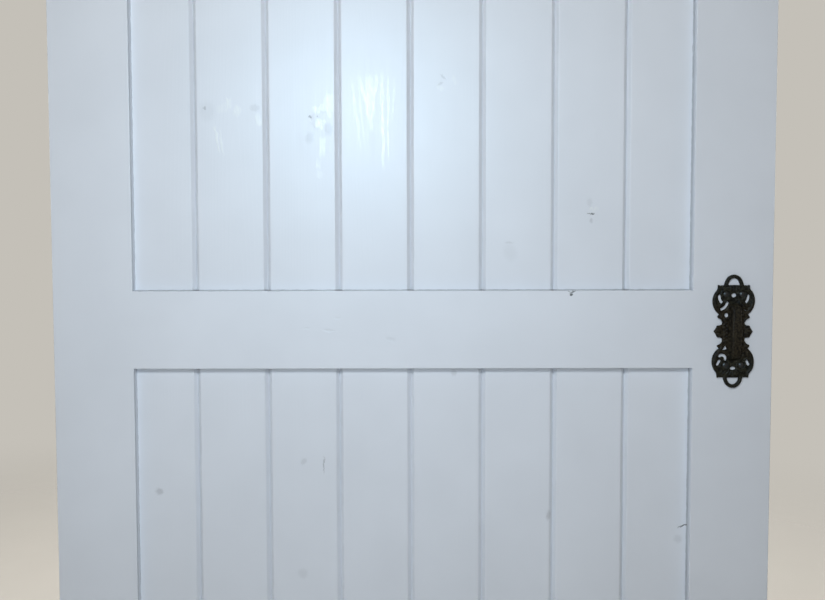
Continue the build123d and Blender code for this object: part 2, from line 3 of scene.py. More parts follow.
import bmesh
import bpy
from bpy.props import FloatProperty, FloatVectorProperty, IntProperty, PointerProperty
from mathutils import Matrix, Vector


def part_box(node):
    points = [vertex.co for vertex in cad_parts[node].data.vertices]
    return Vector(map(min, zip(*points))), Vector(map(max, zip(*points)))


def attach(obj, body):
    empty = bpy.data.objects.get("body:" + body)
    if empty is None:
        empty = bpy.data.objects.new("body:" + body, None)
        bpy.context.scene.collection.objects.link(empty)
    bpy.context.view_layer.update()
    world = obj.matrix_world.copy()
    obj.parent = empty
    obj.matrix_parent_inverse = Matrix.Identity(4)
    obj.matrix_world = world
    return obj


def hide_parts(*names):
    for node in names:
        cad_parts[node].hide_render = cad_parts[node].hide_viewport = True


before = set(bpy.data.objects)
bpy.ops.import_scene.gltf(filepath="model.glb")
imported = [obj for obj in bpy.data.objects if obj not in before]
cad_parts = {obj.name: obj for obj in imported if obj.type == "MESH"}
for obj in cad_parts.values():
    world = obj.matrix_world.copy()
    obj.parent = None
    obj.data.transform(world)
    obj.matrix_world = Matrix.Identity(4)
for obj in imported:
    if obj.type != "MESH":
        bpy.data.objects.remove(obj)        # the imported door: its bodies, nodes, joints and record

bl_info = {
    "name": "Barn Door Finish",
    "version": (1, 0, 0),
    "blender": (4, 5, 0),
    "location": "View3D > Sidebar > Barn Door",
    "description": "Paint, casting, hardware and stage for a framed and boarded sliding door",
    "category": "Object",
}

MM = 0.001
# How near counts as touching, and how near two points are merged
TOUCH = 0.02 * MM
WELD = 0.005 * MM
# What makes a range ease in and out at its ends
SMOOTH = {"interpolation_type": "SMOOTHSTEP"}

# Faces and edges of the leaf, read from the frame
FRONT, BACK = (corner.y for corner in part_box("lock_rail"))
BOARD_FRONT, BOARD_BACK = (corner.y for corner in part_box("upper_board_1"))
LEAF_LEFT, OPENING_LEFT = (corner.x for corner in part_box("left_stile"))
OPENING_RIGHT, LEAF_RIGHT = (corner.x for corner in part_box("right_stile"))
LOCK_BOTTOM, LOCK_TOP = (corner.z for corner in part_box("lock_rail"))
BOTTOM_RAIL_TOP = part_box("bottom_rail")[1].z
TOP_RAIL_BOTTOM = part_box("top_rail")[0].z
BOARD_COUNT = sum(name.startswith("upper_board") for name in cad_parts)
FIRST_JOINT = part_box("upper_board_2")[0].x
BOARD_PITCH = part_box("upper_board_3")[0].x - FIRST_JOINT
LEAF_MIDDLE = Vector(((LEAF_LEFT + LEAF_RIGHT) / 2, FRONT, (LOCK_BOTTOM + LOCK_TOP) / 2))

# The track, the wheels on it and the wall behind it
AXLE_HEIGHT = sum(corner.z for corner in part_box("left_wheel")) / 2
WHEEL_MIDDLE = sum(corner.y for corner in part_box("left_wheel")) / 2
WHEEL_REACH = sum(corner.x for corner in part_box("right_wheel")) / 2 - LEAF_MIDDLE.x
TRACK_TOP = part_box("track_rail")[1].z
WALL_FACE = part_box("track_spacer_1")[1].y

# The pull handle's centre, and the face of its plate, where the ornament stands
HANDLE_LOW, HANDLE_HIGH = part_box("pull_handle")
PLATE_THICKNESS = 3.5 * MM
HANDLE_FACE = HANDLE_HIGH.y - PLATE_THICKNESS
HANDLE_CENTRE = Vector(((HANDLE_LOW.x + HANDLE_HIGH.x) / 2, HANDLE_FACE, (HANDLE_LOW.z + HANDLE_HIGH.z) / 2))


def colour(hexes):
    """An sRGB hex colour as linear red, green, blue and full alpha."""
    channels = [int(hexes[i : i + 2], 16) / 255 for i in (1, 3, 5)]
    return (*(c / 12.92 if c <= 0.04045 else ((c + 0.055) / 1.055) ** 2.4 for c in channels), 1.0)


def scaled(tint, factor):
    """A lighter or darker colour."""
    return (*(channel * factor for channel in tint[:3]), 1.0)


def put(tree, kind, *values, **named):
    """Add a shader node and return its first open output. Plain values and sockets fill its open
    inputs in order. A name with a capital is an input, and any other name is a setting."""
    made = tree.nodes.new("ShaderNode" + kind)
    for name, value in named.items():
        if not name[0].isupper():
            setattr(made, name, value)
    open_inputs = [socket for socket in made.inputs if socket.enabled]
    by_name = {socket.name: socket for socket in open_inputs}
    pairs = list(zip(open_inputs, values))
    pairs += [(by_name[name.replace("_", " ")], value) for name, value in named.items() if name[0].isupper()]
    for socket, value in pairs:
        if isinstance(value, bpy.types.NodeSocket):
            tree.links.new(value, socket)
        else:
            socket.default_value = value
    return next((socket for socket in made.outputs if socket.enabled), None)


def new_material(name):
    """An empty node material, its tree, the piece's own coordinates and their three parts."""
    material = bpy.data.materials.new(name)
    material.use_nodes = True
    tree = material.node_tree
    tree.nodes.clear()
    coordinates = put(tree, "TexCoord").node.outputs["Object"]
    return material, tree, coordinates, put(tree, "SeparateXYZ", coordinates).node.outputs


def surface(tree, tint, rough, relief=None, depth=MM, **fixed):
    """End a material in one shader, with its colour, roughness and relief."""
    if relief:
        fixed["Normal"] = put(tree, "Bump", Strength=1.0, Distance=depth, Height=relief)
    put(tree, "OutputMaterial", put(tree, "BsdfPrincipled", Base_Color=tint, Roughness=rough, **fixed))


def mesh_of(bm, name):
    """Write a bmesh to a new mesh."""
    mesh = bpy.data.meshes.new(name)
    bm.to_mesh(mesh)
    bm.free()
    return mesh


def applied(mesh, kind, **settings):
    """A mesh after one modifier, with the old one deleted."""
    scratch = bpy.data.objects.new("scratch", mesh)
    bpy.context.scene.collection.objects.link(scratch)
    modifier = scratch.modifiers.new("change", kind)
    for name, value in settings.items():
        setattr(modifier, name, value)
    result = bpy.data.meshes.new_from_object(scratch.evaluated_get(bpy.context.evaluated_depsgraph_get()))
    name = mesh.name
    bpy.data.objects.remove(scratch)
    bpy.data.meshes.remove(mesh)
    result.name = name
    return result


def make_piece(mesh, body, material, slot, *nodes):
    """An object with its place in its mesh, that rides on a body and stands for the nodes named."""
    piece = bpy.data.objects.new(mesh.name, mesh)
    bpy.context.scene.collection.objects.link(piece)
    mesh.materials.clear()
    mesh.materials.append(material)
    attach(piece, body)
    if nodes:
        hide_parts(*nodes)
    return piece


def finish_nodes(material, *names):
    """Give nodes that keep their CAD shape their material."""
    for name in names:
        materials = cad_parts[name].data.materials
        materials.clear()
        materials.append(material)


# Marks on the leaf in millimetres: the place across and up, the half sizes, the turn in degrees,
# how dark, and how deep. A negative depth stands proud.
UPPER_MARKS = {
    "knot_dot": (192.7, 1339.0, 2.9, 2.7, 0, 0.28, 0.10),
    "knot_cloud": (197.0, 1334.0, 15.0, 18.0, 0, 0.055, -0.10),
    "groove_knot": (267.5, 1339.0, 9.0, 6.0, 10, 0.10, -0.12),
    "ringed_knot_dot": (349.0, 1325.4, 3.0, 1.9, 20, 0.45, 0.18),
    "ringed_knot_second_dot": (359.5, 1326.0, 2.0, 1.4, 0, 0.22, 0.10),
    "ringed_knot": (360.3, 1321.3, 11.0, 15.0, 0, 0.03, -0.22),
    "ringed_knot_smear": (348.5, 1295.0, 8.0, 10.0, 20, 0.11, -0.10),
    "ringed_knot_edge": (376.5, 1308.0, 7.0, 12.0, -10, 0.12, -0.12),
    "ringed_knot_shade": (368.0, 1334.0, 7.0, 3.0, 10, 0.07, -0.10),
    "squiggle": (546.0, 1383.9, 6.4, 1.9, 45, 0.15, 0.12),
    "squiggle_foot": (542.0, 1373.5, 6.4, 1.9, -30, 0.14, 0.10),
    "sunk_knot": (646.0, 1124.0, 12.0, 16.0, -12, 0.05, 0.12),
    "sunk_knot_lip": (644.0, 1139.0, 8.0, 1.8, 0, 0.12, 0.10),
    "nail_hole": (767.5, 1181.3, 3.6, 1.6, -4, 0.78, 0.50),
    "nail_hole_lip": (762.6, 1182.4, 2.8, 1.0, 12, 0.6, 0.35),
    "nail_run": (766.0, 1171.5, 3.2, 4.4, 0, 0.18, 0.10),
    "nail_smear": (764.0, 1198.5, 5.0, 8.0, 0, 0.08, 0.06),
}
LOWER_MARKS = {
    "grey_knot": (116.5, 764.0, 7.2, 5.8, 20, 0.22, 0.16),
    "scratch": (365.8, 804.0, 1.3, 15.0, 1, 0.32, 0.20),
    "scratch_knot": (335.1, 809.5, 4.6, 6.6, 30, 0.13, 0.10),
    "low_knot": (332.5, 637.5, 9.0, 9.0, 40, 0.08, 0.12),
    "groove_chip": (705.6, 727.0, 4.2, 9.5, 8, 0.2, 0.25),
    "crack": (910.6, 711.2, 7.4, 1.1, -19, 0.95, 0.50),
    "crack_tail": (904.4, 708.4, 4.6, 1.1, -16, 0.55, 0.30),
    "crack_sap": (901.5, 690.5, 8.0, 8.0, 0, 0.10, -0.06),
    "under_rail_knot": (561.9, 944.0, 5.0, 6.0, 0, 0.16, 0.08),
}
RAIL_MARKS = {
    "edge_chip": (734.8, 1062.3, 2.4, 2.8, 20, 0.9, 0.50),
    "edge_chip_split": (737.6, 1066.2, 5.0, 1.3, -24, 0.70, 0.35),
    "edge_chip_fork": (731.4, 1066.4, 2.4, 1.0, 40, 0.55, 0.30),
    "dimple": (376.0, 1009.0, 9.0, 2.6, 5, 0.03, 0.30),
    "second_dimple": (467.6, 996.0, 9.0, 4.0, 12, 0.06, 0.25),
    "third_dimple": (389.0, 1028.0, 6.0, 2.0, 0, 0.02, 0.20),
    "fourth_dimple": (343.0, 1012.0, 6.0, 1.6, -8, 0.02, 0.20),
}


# Glossy marks over figured grain and knots, in millimetres: the place across and up, the half sizes,
# the turn in degrees, and how strongly each one shines; each also whitens the paint as a painted highlight
SHINES = {
    "figure_far_left": (417.5, 1327.0, 2.0, 50.0, -8, 0.40),
    "figure_left": (424.5, 1333.0, 1.4, 52.0, -5, 0.35),
    "figure_left_arm": (431.0, 1347.0, 2.2, 34.0, -12, 0.70),
    "figure_right_arm": (443.5, 1349.0, 2.2, 34.0, 8, 0.85),
    "figure_heart": (437.5, 1356.0, 7.0, 28.0, -2, 0.55),
    "figure_foot": (438.5, 1318.0, 3.0, 14.0, -2, 0.45),
    "figure_long_streak": (456.6, 1318.0, 2.4, 66.0, -1, 1.00),
    "figure_second_streak": (464.6, 1322.0, 1.8, 60.0, 0, 0.75),
    "figure_edge_streak": (473.0, 1350.0, 1.4, 30.0, 2, 0.45),
    "knot_cap": (362.5, 1337.0, 10.0, 5.0, -8, 0.70),
    "knot_arc_side": (376.0, 1335.0, 2.6, 10.0, -12, 0.60),
    "knot_heart": (362.5, 1315.5, 7.2, 6.6, 20, 1.00),
    "knot_shoulder": (377.5, 1347.0, 7.5, 12.0, 8, 0.55),
    "knot_tail": (366.5, 1280.0, 4.6, 14.0, 6, 0.55),
    "knot_tail_end": (361.0, 1256.0, 3.6, 6.0, 10, 0.50),
    "knot_drip": (361.5, 1241.0, 4.4, 5.4, 0, 0.40),
    "knot_crumb": (349.5, 1319.0, 3.0, 2.0, 30, 0.60),
    "groove_knot_gleam": (273.0, 1321.0, 4.4, 8.5, -6, 0.80),
    "left_knot_run": (210.5, 1294.0, 1.8, 18.0, -12, 0.75),
    "left_knot_second_run": (217.5, 1288.0, 1.6, 18.0, -12, 0.65),
    "left_knot_speck": (228.0, 1345.0, 3.4, 8.0, 0, 0.60),
    "left_knot_second_speck": (240.0, 1334.0, 4.6, 8.0, 20, 0.55),
    "left_knot_cloud": (219.0, 1338.0, 9.0, 6.0, 0, 0.30),
    "curl_gleam": (541.5, 1368.0, 6.0, 4.0, 30, 0.45),
    "curl_second_gleam": (563.0, 1379.0, 2.6, 7.0, -20, 0.35),
    "nail_gleam": (770.0, 1188.5, 6.0, 2.4, 0, 0.60),
}


class PaintSettings(bpy.types.PropertyGroup):
    paint: FloatVectorProperty(
        name="Paint",
        description="Colour of the white paint",
        subtype="COLOR",
        size=4,
        default=colour("#E6EBF2"),
    )
    # One colour for thin paint, dust, and the painted shade in the recesses and corners
    grime_and_shade: FloatVectorProperty(
        name="Grime",
        description="Dust in the inner corners",
        subtype="COLOR",
        size=4,
        default=colour("#6F7276"),
    )
    stain: FloatVectorProperty(
        name="Stain",
        description="What shows at knots and chips",
        subtype="COLOR",
        size=4,
        default=colour("#23241F"),
    )
    roughness: FloatProperty(
        name="Roughness",
        description="Roughness of the satin paint",
        default=0.44,
        min=0.0,
        max=1.0,
    )
    arris: FloatProperty(
        name="Arris",
        description="How far the frame's edges are eased",
        default=0.8 * MM,
        unit="LENGTH",
    )
    board_arris: FloatProperty(
        name="Board arris",
        description="How far the boards' V edges are eased",
        default=0.6 * MM,
        unit="LENGTH",
    )
    ring_spacing: FloatProperty(
        name="Growth rings",
        description="Distance between the growth rings",
        default=4.2 * MM,
        unit="LENGTH",
    )
    brush_spacing: FloatProperty(
        name="Brush marks",
        description="Distance between the brush marks",
        default=3.0 * MM,
        unit="LENGTH",
    )
    # Width of the corner line, which is dust and painted shade
    dirt_and_shade_reach: FloatProperty(
        name="Grime reach",
        description="Width of the dark line in the corners",
        default=2.1 * MM,
        unit="LENGTH",
    )


class HandleSettings(bpy.types.PropertyGroup):
    iron: FloatVectorProperty(
        name="Iron",
        description="Dark waxed iron of the casting",
        subtype="COLOR",
        size=4,
        default=colour("#222119"),
    )
    worn: FloatVectorProperty(
        name="Worn iron",
        description="Brown of the handled grip",
        subtype="COLOR",
        size=4,
        default=colour("#2A2318"),
    )
    voxel: FloatProperty(
        name="Voxel",
        description="Size of the voxels that join the ornament",
        default=0.6 * MM,
        unit="LENGTH",
    )
    lift: FloatProperty(
        name="Lift",
        description="How far a rib stands out for its half width",
        default=0.8,
        min=0.1,
        max=1.5,
    )


class HardwareSettings(bpy.types.PropertyGroup):
    coat: FloatVectorProperty(
        name="Coat",
        description="Black powder coat of straps and track",
        subtype="COLOR",
        size=4,
        default=colour("#2A2A2C"),
    )
    bare_steel: FloatVectorProperty(
        name="Bare steel",
        description="Steel that rolling has polished",
        subtype="COLOR",
        size=4,
        default=colour("#B9B9BA"),
    )
    thread_pitch: FloatProperty(
        name="Thread pitch",
        description="Pitch of the lag screws' thread",
        default=3.4 * MM,
        unit="LENGTH",
    )
    thread_steps: IntProperty(
        name="Thread steps",
        description="Sides of each turn of thread",
        default=16,
        min=6,
    )


class StageSettings(bpy.types.PropertyGroup):
    floor: FloatVectorProperty(
        name="Floor",
        description="Colour of the pale floor",
        subtype="COLOR",
        size=4,
        default=colour("#D8D5CF"),
    )
    backdrop: FloatVectorProperty(
        name="Backdrop",
        description="Pale air behind the door",
        subtype="COLOR",
        size=4,
        default=colour("#C4C0B8"),
    )
    ambient: FloatVectorProperty(
        name="Ambient",
        description="Light from all round",
        subtype="COLOR",
        size=4,
        default=colour("#615950"),
    )
    brightness: FloatProperty(
        name="Brightness",
        description="Factor on every lamp's power",
        default=1.0,
        min=0.0,
    )


# Painted wood

# Real sizes of the patterns: the waves in the grain, what tears the edges of knots and frays those
# of glossy marks, the fibres in a glossy mark, patches of dust, and the paint's stipple and swell
WAVE_LENGTH = 62.5 * MM
RAGGED = 3.846 * MM
FRAYED = 5.263 * MM
FIBRE = 2.381 * MM
DUST_PATCH = 11.11 * MM
STIPPLE = 2.381 * MM
SWELL = 111.1 * MM
# How much the length along a piece counts in a pattern's coordinates: less draws the pattern out
WAVE_STRETCH, STROKE_STRETCH, FIBRE_STRETCH = 0.16, 0.02, 0.2
# How far a mark reaches into the wood, and how far the edges of knots and of glossy marks are torn
MARK_DEPTH = 8 * MM
RAGGED_REACH = (5 * MM, 5 * MM, 5 * MM)
FRAYED_REACH = (8 * MM, 0, 14 * MM)
# How high each layer of relief stands, in millimetres, and how much painted shade darkens the faces behind
# the front
RING_HEIGHT = {"boards": 0.045, "stiles": 0.015, "rails": 0.015}
BRUSH_HEIGHT, STIPPLE_HEIGHT, SWELL_HEIGHT = 0.035, 0.012, 0.6
EDGE_PAINTED_SHADE = {"boards": 0.06, "stiles": 0.28, "rails": 0.2}


def eased_copy(node, offset, segments, chosen, cuts=()):
    """A copy of a wooden node's mesh with its chosen edges eased."""
    bm = bmesh.new()
    bm.from_mesh(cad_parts[node].data)
    bmesh.ops.remove_doubles(bm, verts=bm.verts, dist=WELD)
    bmesh.ops.dissolve_limit(bm, angle_limit=radians(0.5), verts=bm.verts, edges=bm.edges)
    for height in cuts:
        everything = bm.verts[:] + bm.edges[:] + bm.faces[:]
        bmesh.ops.bisect_plane(bm, geom=everything, dist=WELD, plane_co=(0, 0, height), plane_no=(0, 0, 1))
    edges = [edge for edge in bm.edges if len(edge.link_faces) == 2 and chosen(*(v.co for v in edge.verts))]
    if not edges:
        raise RuntimeError(f"{node} has no edge to ease")
    bmesh.ops.bevel(
        bm,
        geom=edges,
        offset=offset,
        offset_type="OFFSET",
        segments=segments,
        profile=0.5,
        affect="EDGES",
        material=-1,
        clamp_overlap=True,
    )
    for face in bm.faces:
        face.smooth = False
    mesh = mesh_of(bm, f"{node}_painted")
    if "custom_normal" in mesh.attributes:
        mesh.attributes.remove(mesh.attributes["custom_normal"])
    return mesh


def along(a, b, axis, *values):
    """Both ends of an edge lie at one of the values on an axis."""
    return any(abs(a[axis] - value) < TOUCH and abs(b[axis] - value) < TOUCH for value in values)


def grain_relief(tree, across, upward, seed, spacing):
    """Growth rings of a plain-sawn board, which telegraph through the paint as low ridges."""
    dice = put(tree, "TexWhiteNoise", W=seed, noise_dimensions="1D").node.outputs["Color"]
    chance = put(tree, "SeparateXYZ", dice).node.outputs
    pith = put(tree, "MapRange", chance["X"], To_Min=-16 * MM, To_Max=16 * MM)
    depth = put(tree, "MapRange", chance["Y"], To_Min=12 * MM, To_Max=42 * MM)
    tilt = put(tree, "MapRange", chance["Z"], To_Min=-0.07, To_Max=0.07)
    slow = put(tree, "Math", upward, WAVE_STRETCH, operation="MULTIPLY")
    wander = put(tree, "CombineXYZ", X=across, Z=slow)
    waves = put(
        tree,
        "TexNoise",
        Vector=wander,
        W=seed,
        Scale=1 / WAVE_LENGTH,
        Detail=2.0,
        Roughness=0.45,
        noise_dimensions="4D",
    )
    sway = put(tree, "MapRange", waves, To_Min=-14 * MM, To_Max=14 * MM)
    sideways = put(tree, "Math", across, pith, operation="SUBTRACT")
    sloped = put(tree, "Math", upward, tilt, depth, operation="MULTIPLY_ADD")
    below = put(tree, "Math", sloped, sway, operation="ADD")
    radius = put(tree, "VectorMath", put(tree, "CombineXYZ", sideways, below), operation="LENGTH")
    ring = put(tree, "Math", put(tree, "Math", radius, spacing, operation="DIVIDE"), operation="FRACT")
    late = put(tree, "Math", ring, 3.0, operation="POWER")
    fall = put(tree, "MapRange", ring, From_Min=0.82, From_Max=1.0, To_Min=1.0, To_Max=0.0)
    return put(tree, "Math", late, fall, operation="MULTIPLY")


def torn_coordinates(tree, coordinates, pattern, grain, detail, reach):
    """Coordinates shifted to and fro by a noise, so that what is drawn on them has a torn edge."""
    ragged = put(tree, "TexNoise", Vector=pattern, Scale=1 / grain, Detail=detail).node.outputs["Color"]
    centred = put(tree, "VectorMath", ragged, (0.5, 0.5, 0.5), operation="SUBTRACT")
    shift = put(tree, "VectorMath", centred, reach, operation="MULTIPLY")
    return put(tree, "VectorMath", coordinates, shift, operation="ADD")


def mark_distance(tree, coordinates, name, face, outline, power=1):
    """Distance from the middle of a mark, with 1 on its outline. A higher power evens it inside."""
    x, z, half_x, half_z, turn = outline
    inside = put(
        tree,
        "Mapping",
        coordinates,
        Location=(x * MM, face, z * MM),
        Rotation=(0, radians(turn), 0),
        Scale=(half_x * MM, MARK_DEPTH, half_z * MM),
        vector_type="TEXTURE",
        label=name,
    )
    raised = inside
    for _ in range(power - 1):
        raised = put(tree, "VectorMath", raised, inside, operation="MULTIPLY")
    return put(tree, "VectorMath", raised, operation="LENGTH")


def add_marks(tree, coordinates, marks, face, paint, stain, height):
    """Darken the paint and change its height at each mark. Returns the new colour and height."""
    torn = torn_coordinates(tree, coordinates, coordinates, RAGGED, 2.0, RAGGED_REACH)
    for name, (*outline, dark, deep) in marks.items():
        distance = mark_distance(tree, torn, name, face, outline)
        mask = put(tree, "MapRange", distance, From_Min=0.35, From_Max=1.15, To_Min=1.0, To_Max=0.0, **SMOOTH)
        amount = put(tree, "Math", mask, dark, operation="MULTIPLY")
        paint = put(tree, "Mix", Factor=amount, A=paint, B=stain, data_type="RGBA")
        height = put(tree, "Math", mask, -deep, height, operation="MULTIPLY_ADD")
    return paint, height


def add_shines(tree, coordinates, shines, face, paint, rough, height):
    """Make the paint smoother and prouder at each glossy mark, with ends that fray, and whiter there as a
    painted highlight.
    """
    stretched = put(tree, "VectorMath", coordinates, (1.0, 1.0, FIBRE_STRETCH), operation="MULTIPLY")
    frayed = torn_coordinates(tree, coordinates, stretched, FRAYED, 3.0, FRAYED_REACH)
    gloss = 0.0
    for name, (*outline, strength) in shines.items():
        distance = mark_distance(tree, frayed, name, face, outline, power=3)
        mask = put(tree, "MapRange", distance, From_Max=1.8, To_Min=strength, To_Max=0.0, **SMOOTH)
        gloss = put(tree, "Math", mask, gloss, operation="MAXIMUM")
    fibres = put(tree, "TexNoise", Vector=stretched, Scale=1 / FIBRE, Detail=3.0, Roughness=0.6)
    broken = put(tree, "MapRange", fibres, From_Min=0.36, From_Max=0.58, To_Min=0.25, To_Max=1.0)
    gloss = put(tree, "Math", gloss, broken, operation="MULTIPLY")
    painted_highlight = put(tree, "Math", gloss, 0.5, operation="MULTIPLY")
    # Painted highlight: the paint turns whiter where the glossy marks gleam
    paint = put(tree, "Mix", Factor=painted_highlight, A=paint, B=colour("#FAFFF8"), data_type="RGBA")
    rough = put(tree, "Math", gloss, -0.1, rough, operation="MULTIPLY_ADD")
    height = put(tree, "Math", gloss, 0.1, height, operation="MULTIPLY_ADD")
    return paint, rough, height


def recess_painted_shade(tree, place, half, amount, right, paint, grime_and_shade):
    """Painted shade on what lies behind a face: groove sides and the frame's inner edges, darkened in colour.
    On the stiles it lies on the outer part of the left one's edge and deep in the right one's."""
    depth = put(tree, "Math", place["Y"], operation="ABSOLUTE")
    start, full = half - 0.2 * MM, half - 1.2 * MM
    mask = put(tree, "MapRange", depth, From_Min=full, From_Max=start, To_Min=amount, To_Max=0.0)
    if right:
        middle = half - 7 * MM
        outer = put(tree, "MapRange", depth, From_Min=middle - MM, From_Max=middle + MM)
        share = put(tree, "Math", right, outer, operation="SUBTRACT")
        share = put(tree, "Math", share, operation="ABSOLUTE")
        mask = put(tree, "Math", mask, share, operation="MULTIPLY")
    return put(tree, "Mix", Factor=mask, A=paint, B=grime_and_shade, data_type="RGBA")


def corner_dirt_and_shade(tree, place, coordinates, paint, settings):
    """Dust, an open paint line and painted shade where the boards run into the frame: the boards darken
    towards the frame's inner edges and the lock rail.
    """
    width = settings.dirt_and_shade_reach
    from_left = put(tree, "Math", place["X"], OPENING_LEFT - width / 2, operation="SUBTRACT")
    from_right = put(tree, "Math", OPENING_RIGHT, place["X"], operation="SUBTRACT")
    from_rail = put(tree, "Math", place["Z"], LEAF_MIDDLE.z, operation="SUBTRACT")
    from_rail = put(tree, "Math", from_rail, operation="ABSOLUTE")
    from_rail = put(tree, "Math", from_rail, (LOCK_TOP - LOCK_BOTTOM) / 2, operation="SUBTRACT")
    below = put(tree, "Math", place["Z"], LEAF_MIDDLE.z, operation="LESS_THAN")
    from_rail = put(tree, "Math", below, width, from_rail, operation="MULTIPLY_ADD")
    sides = put(tree, "Math", from_left, from_right, operation="MINIMUM")
    nearest = put(tree, "Math", sides, from_rail, operation="MINIMUM")
    ragged = put(tree, "TexNoise", Vector=coordinates, Scale=1 / DUST_PATCH, Detail=3.0)
    reach = put(tree, "MapRange", ragged, To_Min=0.4 * width, To_Max=1.6 * width)
    share = put(tree, "Math", nearest, reach, operation="DIVIDE")
    mask = put(tree, "MapRange", share, From_Min=0.45, From_Max=1.0, To_Min=0.55, To_Max=0.0, **SMOOTH)
    return put(tree, "Mix", Factor=mask, A=paint, B=settings.grime_and_shade[:], data_type="RGBA")


def painted_pine(name, kind, face, marks, shines):
    """Satin white paint brushed on knotty pine: a cool white with a soft broad gleam, low brush
    marks along each piece, and growth rings and knots that show where it gleams. Painted shade darkens its
    recesses and corners, and a painted highlight whitens its glossy marks."""
    settings = bpy.context.scene.door_paint
    material, tree, coordinates, place = new_material(name)
    right = None
    if kind == "boards":
        from_joint = put(tree, "Math", place["X"], FIRST_JOINT, operation="SUBTRACT")
        number = put(tree, "Math", from_joint, BOARD_PITCH, operation="DIVIDE")
        number = put(tree, "Math", number, operation="FLOOR")
        middle = FIRST_JOINT + BOARD_PITCH / 2
        middle = put(tree, "Math", number, BOARD_PITCH, middle, operation="MULTIPLY_ADD")
        across = put(tree, "Math", place["X"], middle, operation="SUBTRACT")
        upward = put(tree, "Math", place["Z"], (LOCK_TOP + TOP_RAIL_BOTTOM) / 2, operation="SUBTRACT")
        upper = put(tree, "Math", place["Z"], LOCK_BOTTOM, operation="GREATER_THAN")
        panel_seed = put(tree, "Math", upper, 17.0, operation="MULTIPLY")
        seed = put(tree, "Math", number, 3.7, panel_seed, operation="MULTIPLY_ADD")
    elif kind == "stiles":
        right = put(tree, "Math", place["X"], LEAF_MIDDLE.x, operation="GREATER_THAN")
        left_middle = (LEAF_LEFT + OPENING_LEFT) / 2
        middle = put(tree, "Math", right, OPENING_RIGHT - LEAF_LEFT, left_middle, operation="MULTIPLY_ADD")
        across = put(tree, "Math", place["X"], middle, operation="SUBTRACT")
        upward = place["Z"]
        seed = put(tree, "Math", right, 5.3, operation="ADD")
    else:
        across = put(tree, "Math", place["Z"], LEAF_MIDDLE.z, operation="SUBTRACT")
        upward = place["X"]
        seed = put(tree, "Math", place["Z"], 0.9, operation="SNAP")
    rings = grain_relief(tree, across, upward, seed, settings.ring_spacing)
    drawn_out = put(tree, "Math", upward, STROKE_STRETCH, operation="MULTIPLY")
    stroke = put(tree, "CombineXYZ", across, place["Y"], drawn_out)
    brush = put(tree, "TexNoise", Vector=stroke, Scale=1 / settings.brush_spacing, Detail=3.0, Roughness=0.6)
    stipple = put(tree, "TexNoise", Vector=coordinates, Scale=1 / STIPPLE, Detail=2.0)
    swell = put(tree, "TexNoise", Vector=coordinates, Scale=1 / SWELL, Detail=2.0)
    height = put(tree, "Math", rings, RING_HEIGHT[kind], operation="MULTIPLY")
    for layer, lift in ((brush, BRUSH_HEIGHT), (stipple, STIPPLE_HEIGHT), (swell, SWELL_HEIGHT)):
        height = put(tree, "Math", layer, lift, height, operation="MULTIPLY_ADD")
    thin = put(tree, "MapRange", swell, From_Min=0.3, From_Max=0.7, To_Min=0.0, To_Max=0.05)
    paint = put(tree, "Mix", Factor=thin, A=settings.paint[:], B=settings.grime_and_shade[:], data_type="RGBA")
    rough = put(tree, "MapRange", brush, To_Min=settings.roughness - 0.05, To_Max=settings.roughness + 0.05)
    # Painted shade: the side faces behind the front are darkened in colour
    paint = recess_painted_shade(tree, place, abs(face), EDGE_PAINTED_SHADE[kind], right, paint, settings.grime_and_shade[:])
    if kind == "boards":
        # Dust and painted shade in the corners where the boards meet the frame
        paint = corner_dirt_and_shade(tree, place, coordinates, paint, settings)
    if shines:
        paint, rough, height = add_shines(tree, coordinates, shines, face, paint, rough, height)
    paint, height = add_marks(tree, coordinates, marks, face, paint, settings.stain[:], height)
    surface(tree, paint, rough, height)
    return material


class DOOR_OT_paint_leaf(bpy.types.Operator):
    """Ease the arrises of the stiles, rails and boards, and paint them"""

    bl_idname = "barn_door.paint_leaf"
    bl_label = "Paint the leaf"

    def execute(self, context):
        settings = context.scene.door_paint
        panels = ((BOTTOM_RAIL_TOP, LOCK_BOTTOM), (LOCK_TOP, TOP_RAIL_BOTTOM))
        levels = [level for panel in panels for level in panel]

        def beside_a_panel(a, b):
            low, high = sorted((a.z, b.z))
            return any(bottom - TOUCH < low and high < top + TOUCH for bottom, top in panels)

        def stile_edge(a, b):
            inner = along(a, b, 0, OPENING_LEFT, OPENING_RIGHT) and beside_a_panel(a, b)
            return inner and along(a, b, 1, FRONT, BACK)

        def rail_edge(a, b):
            return along(a, b, 1, FRONT, BACK) and along(a, b, 2, *levels)

        def board_edge(a, b):
            return along(a, b, 1, BOARD_FRONT, BOARD_BACK) and abs(a.x - b.x) < TOUCH

        stile_paint = painted_pine("painted_stiles", "stiles", FRONT, {}, {})
        rail_paint = painted_pine("painted_rails", "rails", FRONT, RAIL_MARKS, {})
        for node in ("left_stile", "right_stile"):
            mesh = eased_copy(node, settings.arris, 3, stile_edge, levels)
            make_piece(mesh, "door", stile_paint, "painted_frame", node)
        for node in ("top_rail", "lock_rail", "bottom_rail"):
            mesh = eased_copy(node, settings.arris, 3, rail_edge)
            make_piece(mesh, "door", rail_paint, "painted_frame", node)
        for panel, marks, shines in (("upper", UPPER_MARKS, SHINES), ("lower", LOWER_MARKS, {})):
            board_paint = painted_pine(f"painted_{panel}_boards", "boards", BOARD_FRONT, marks, shines)
            for number in range(1, BOARD_COUNT + 1):
                node = f"{panel}_board_{number}"
                mesh = eased_copy(node, settings.board_arris, 2, board_edge)
                make_piece(mesh, "door", board_paint, "painted_boards", node)
        return {"FINISHED"}


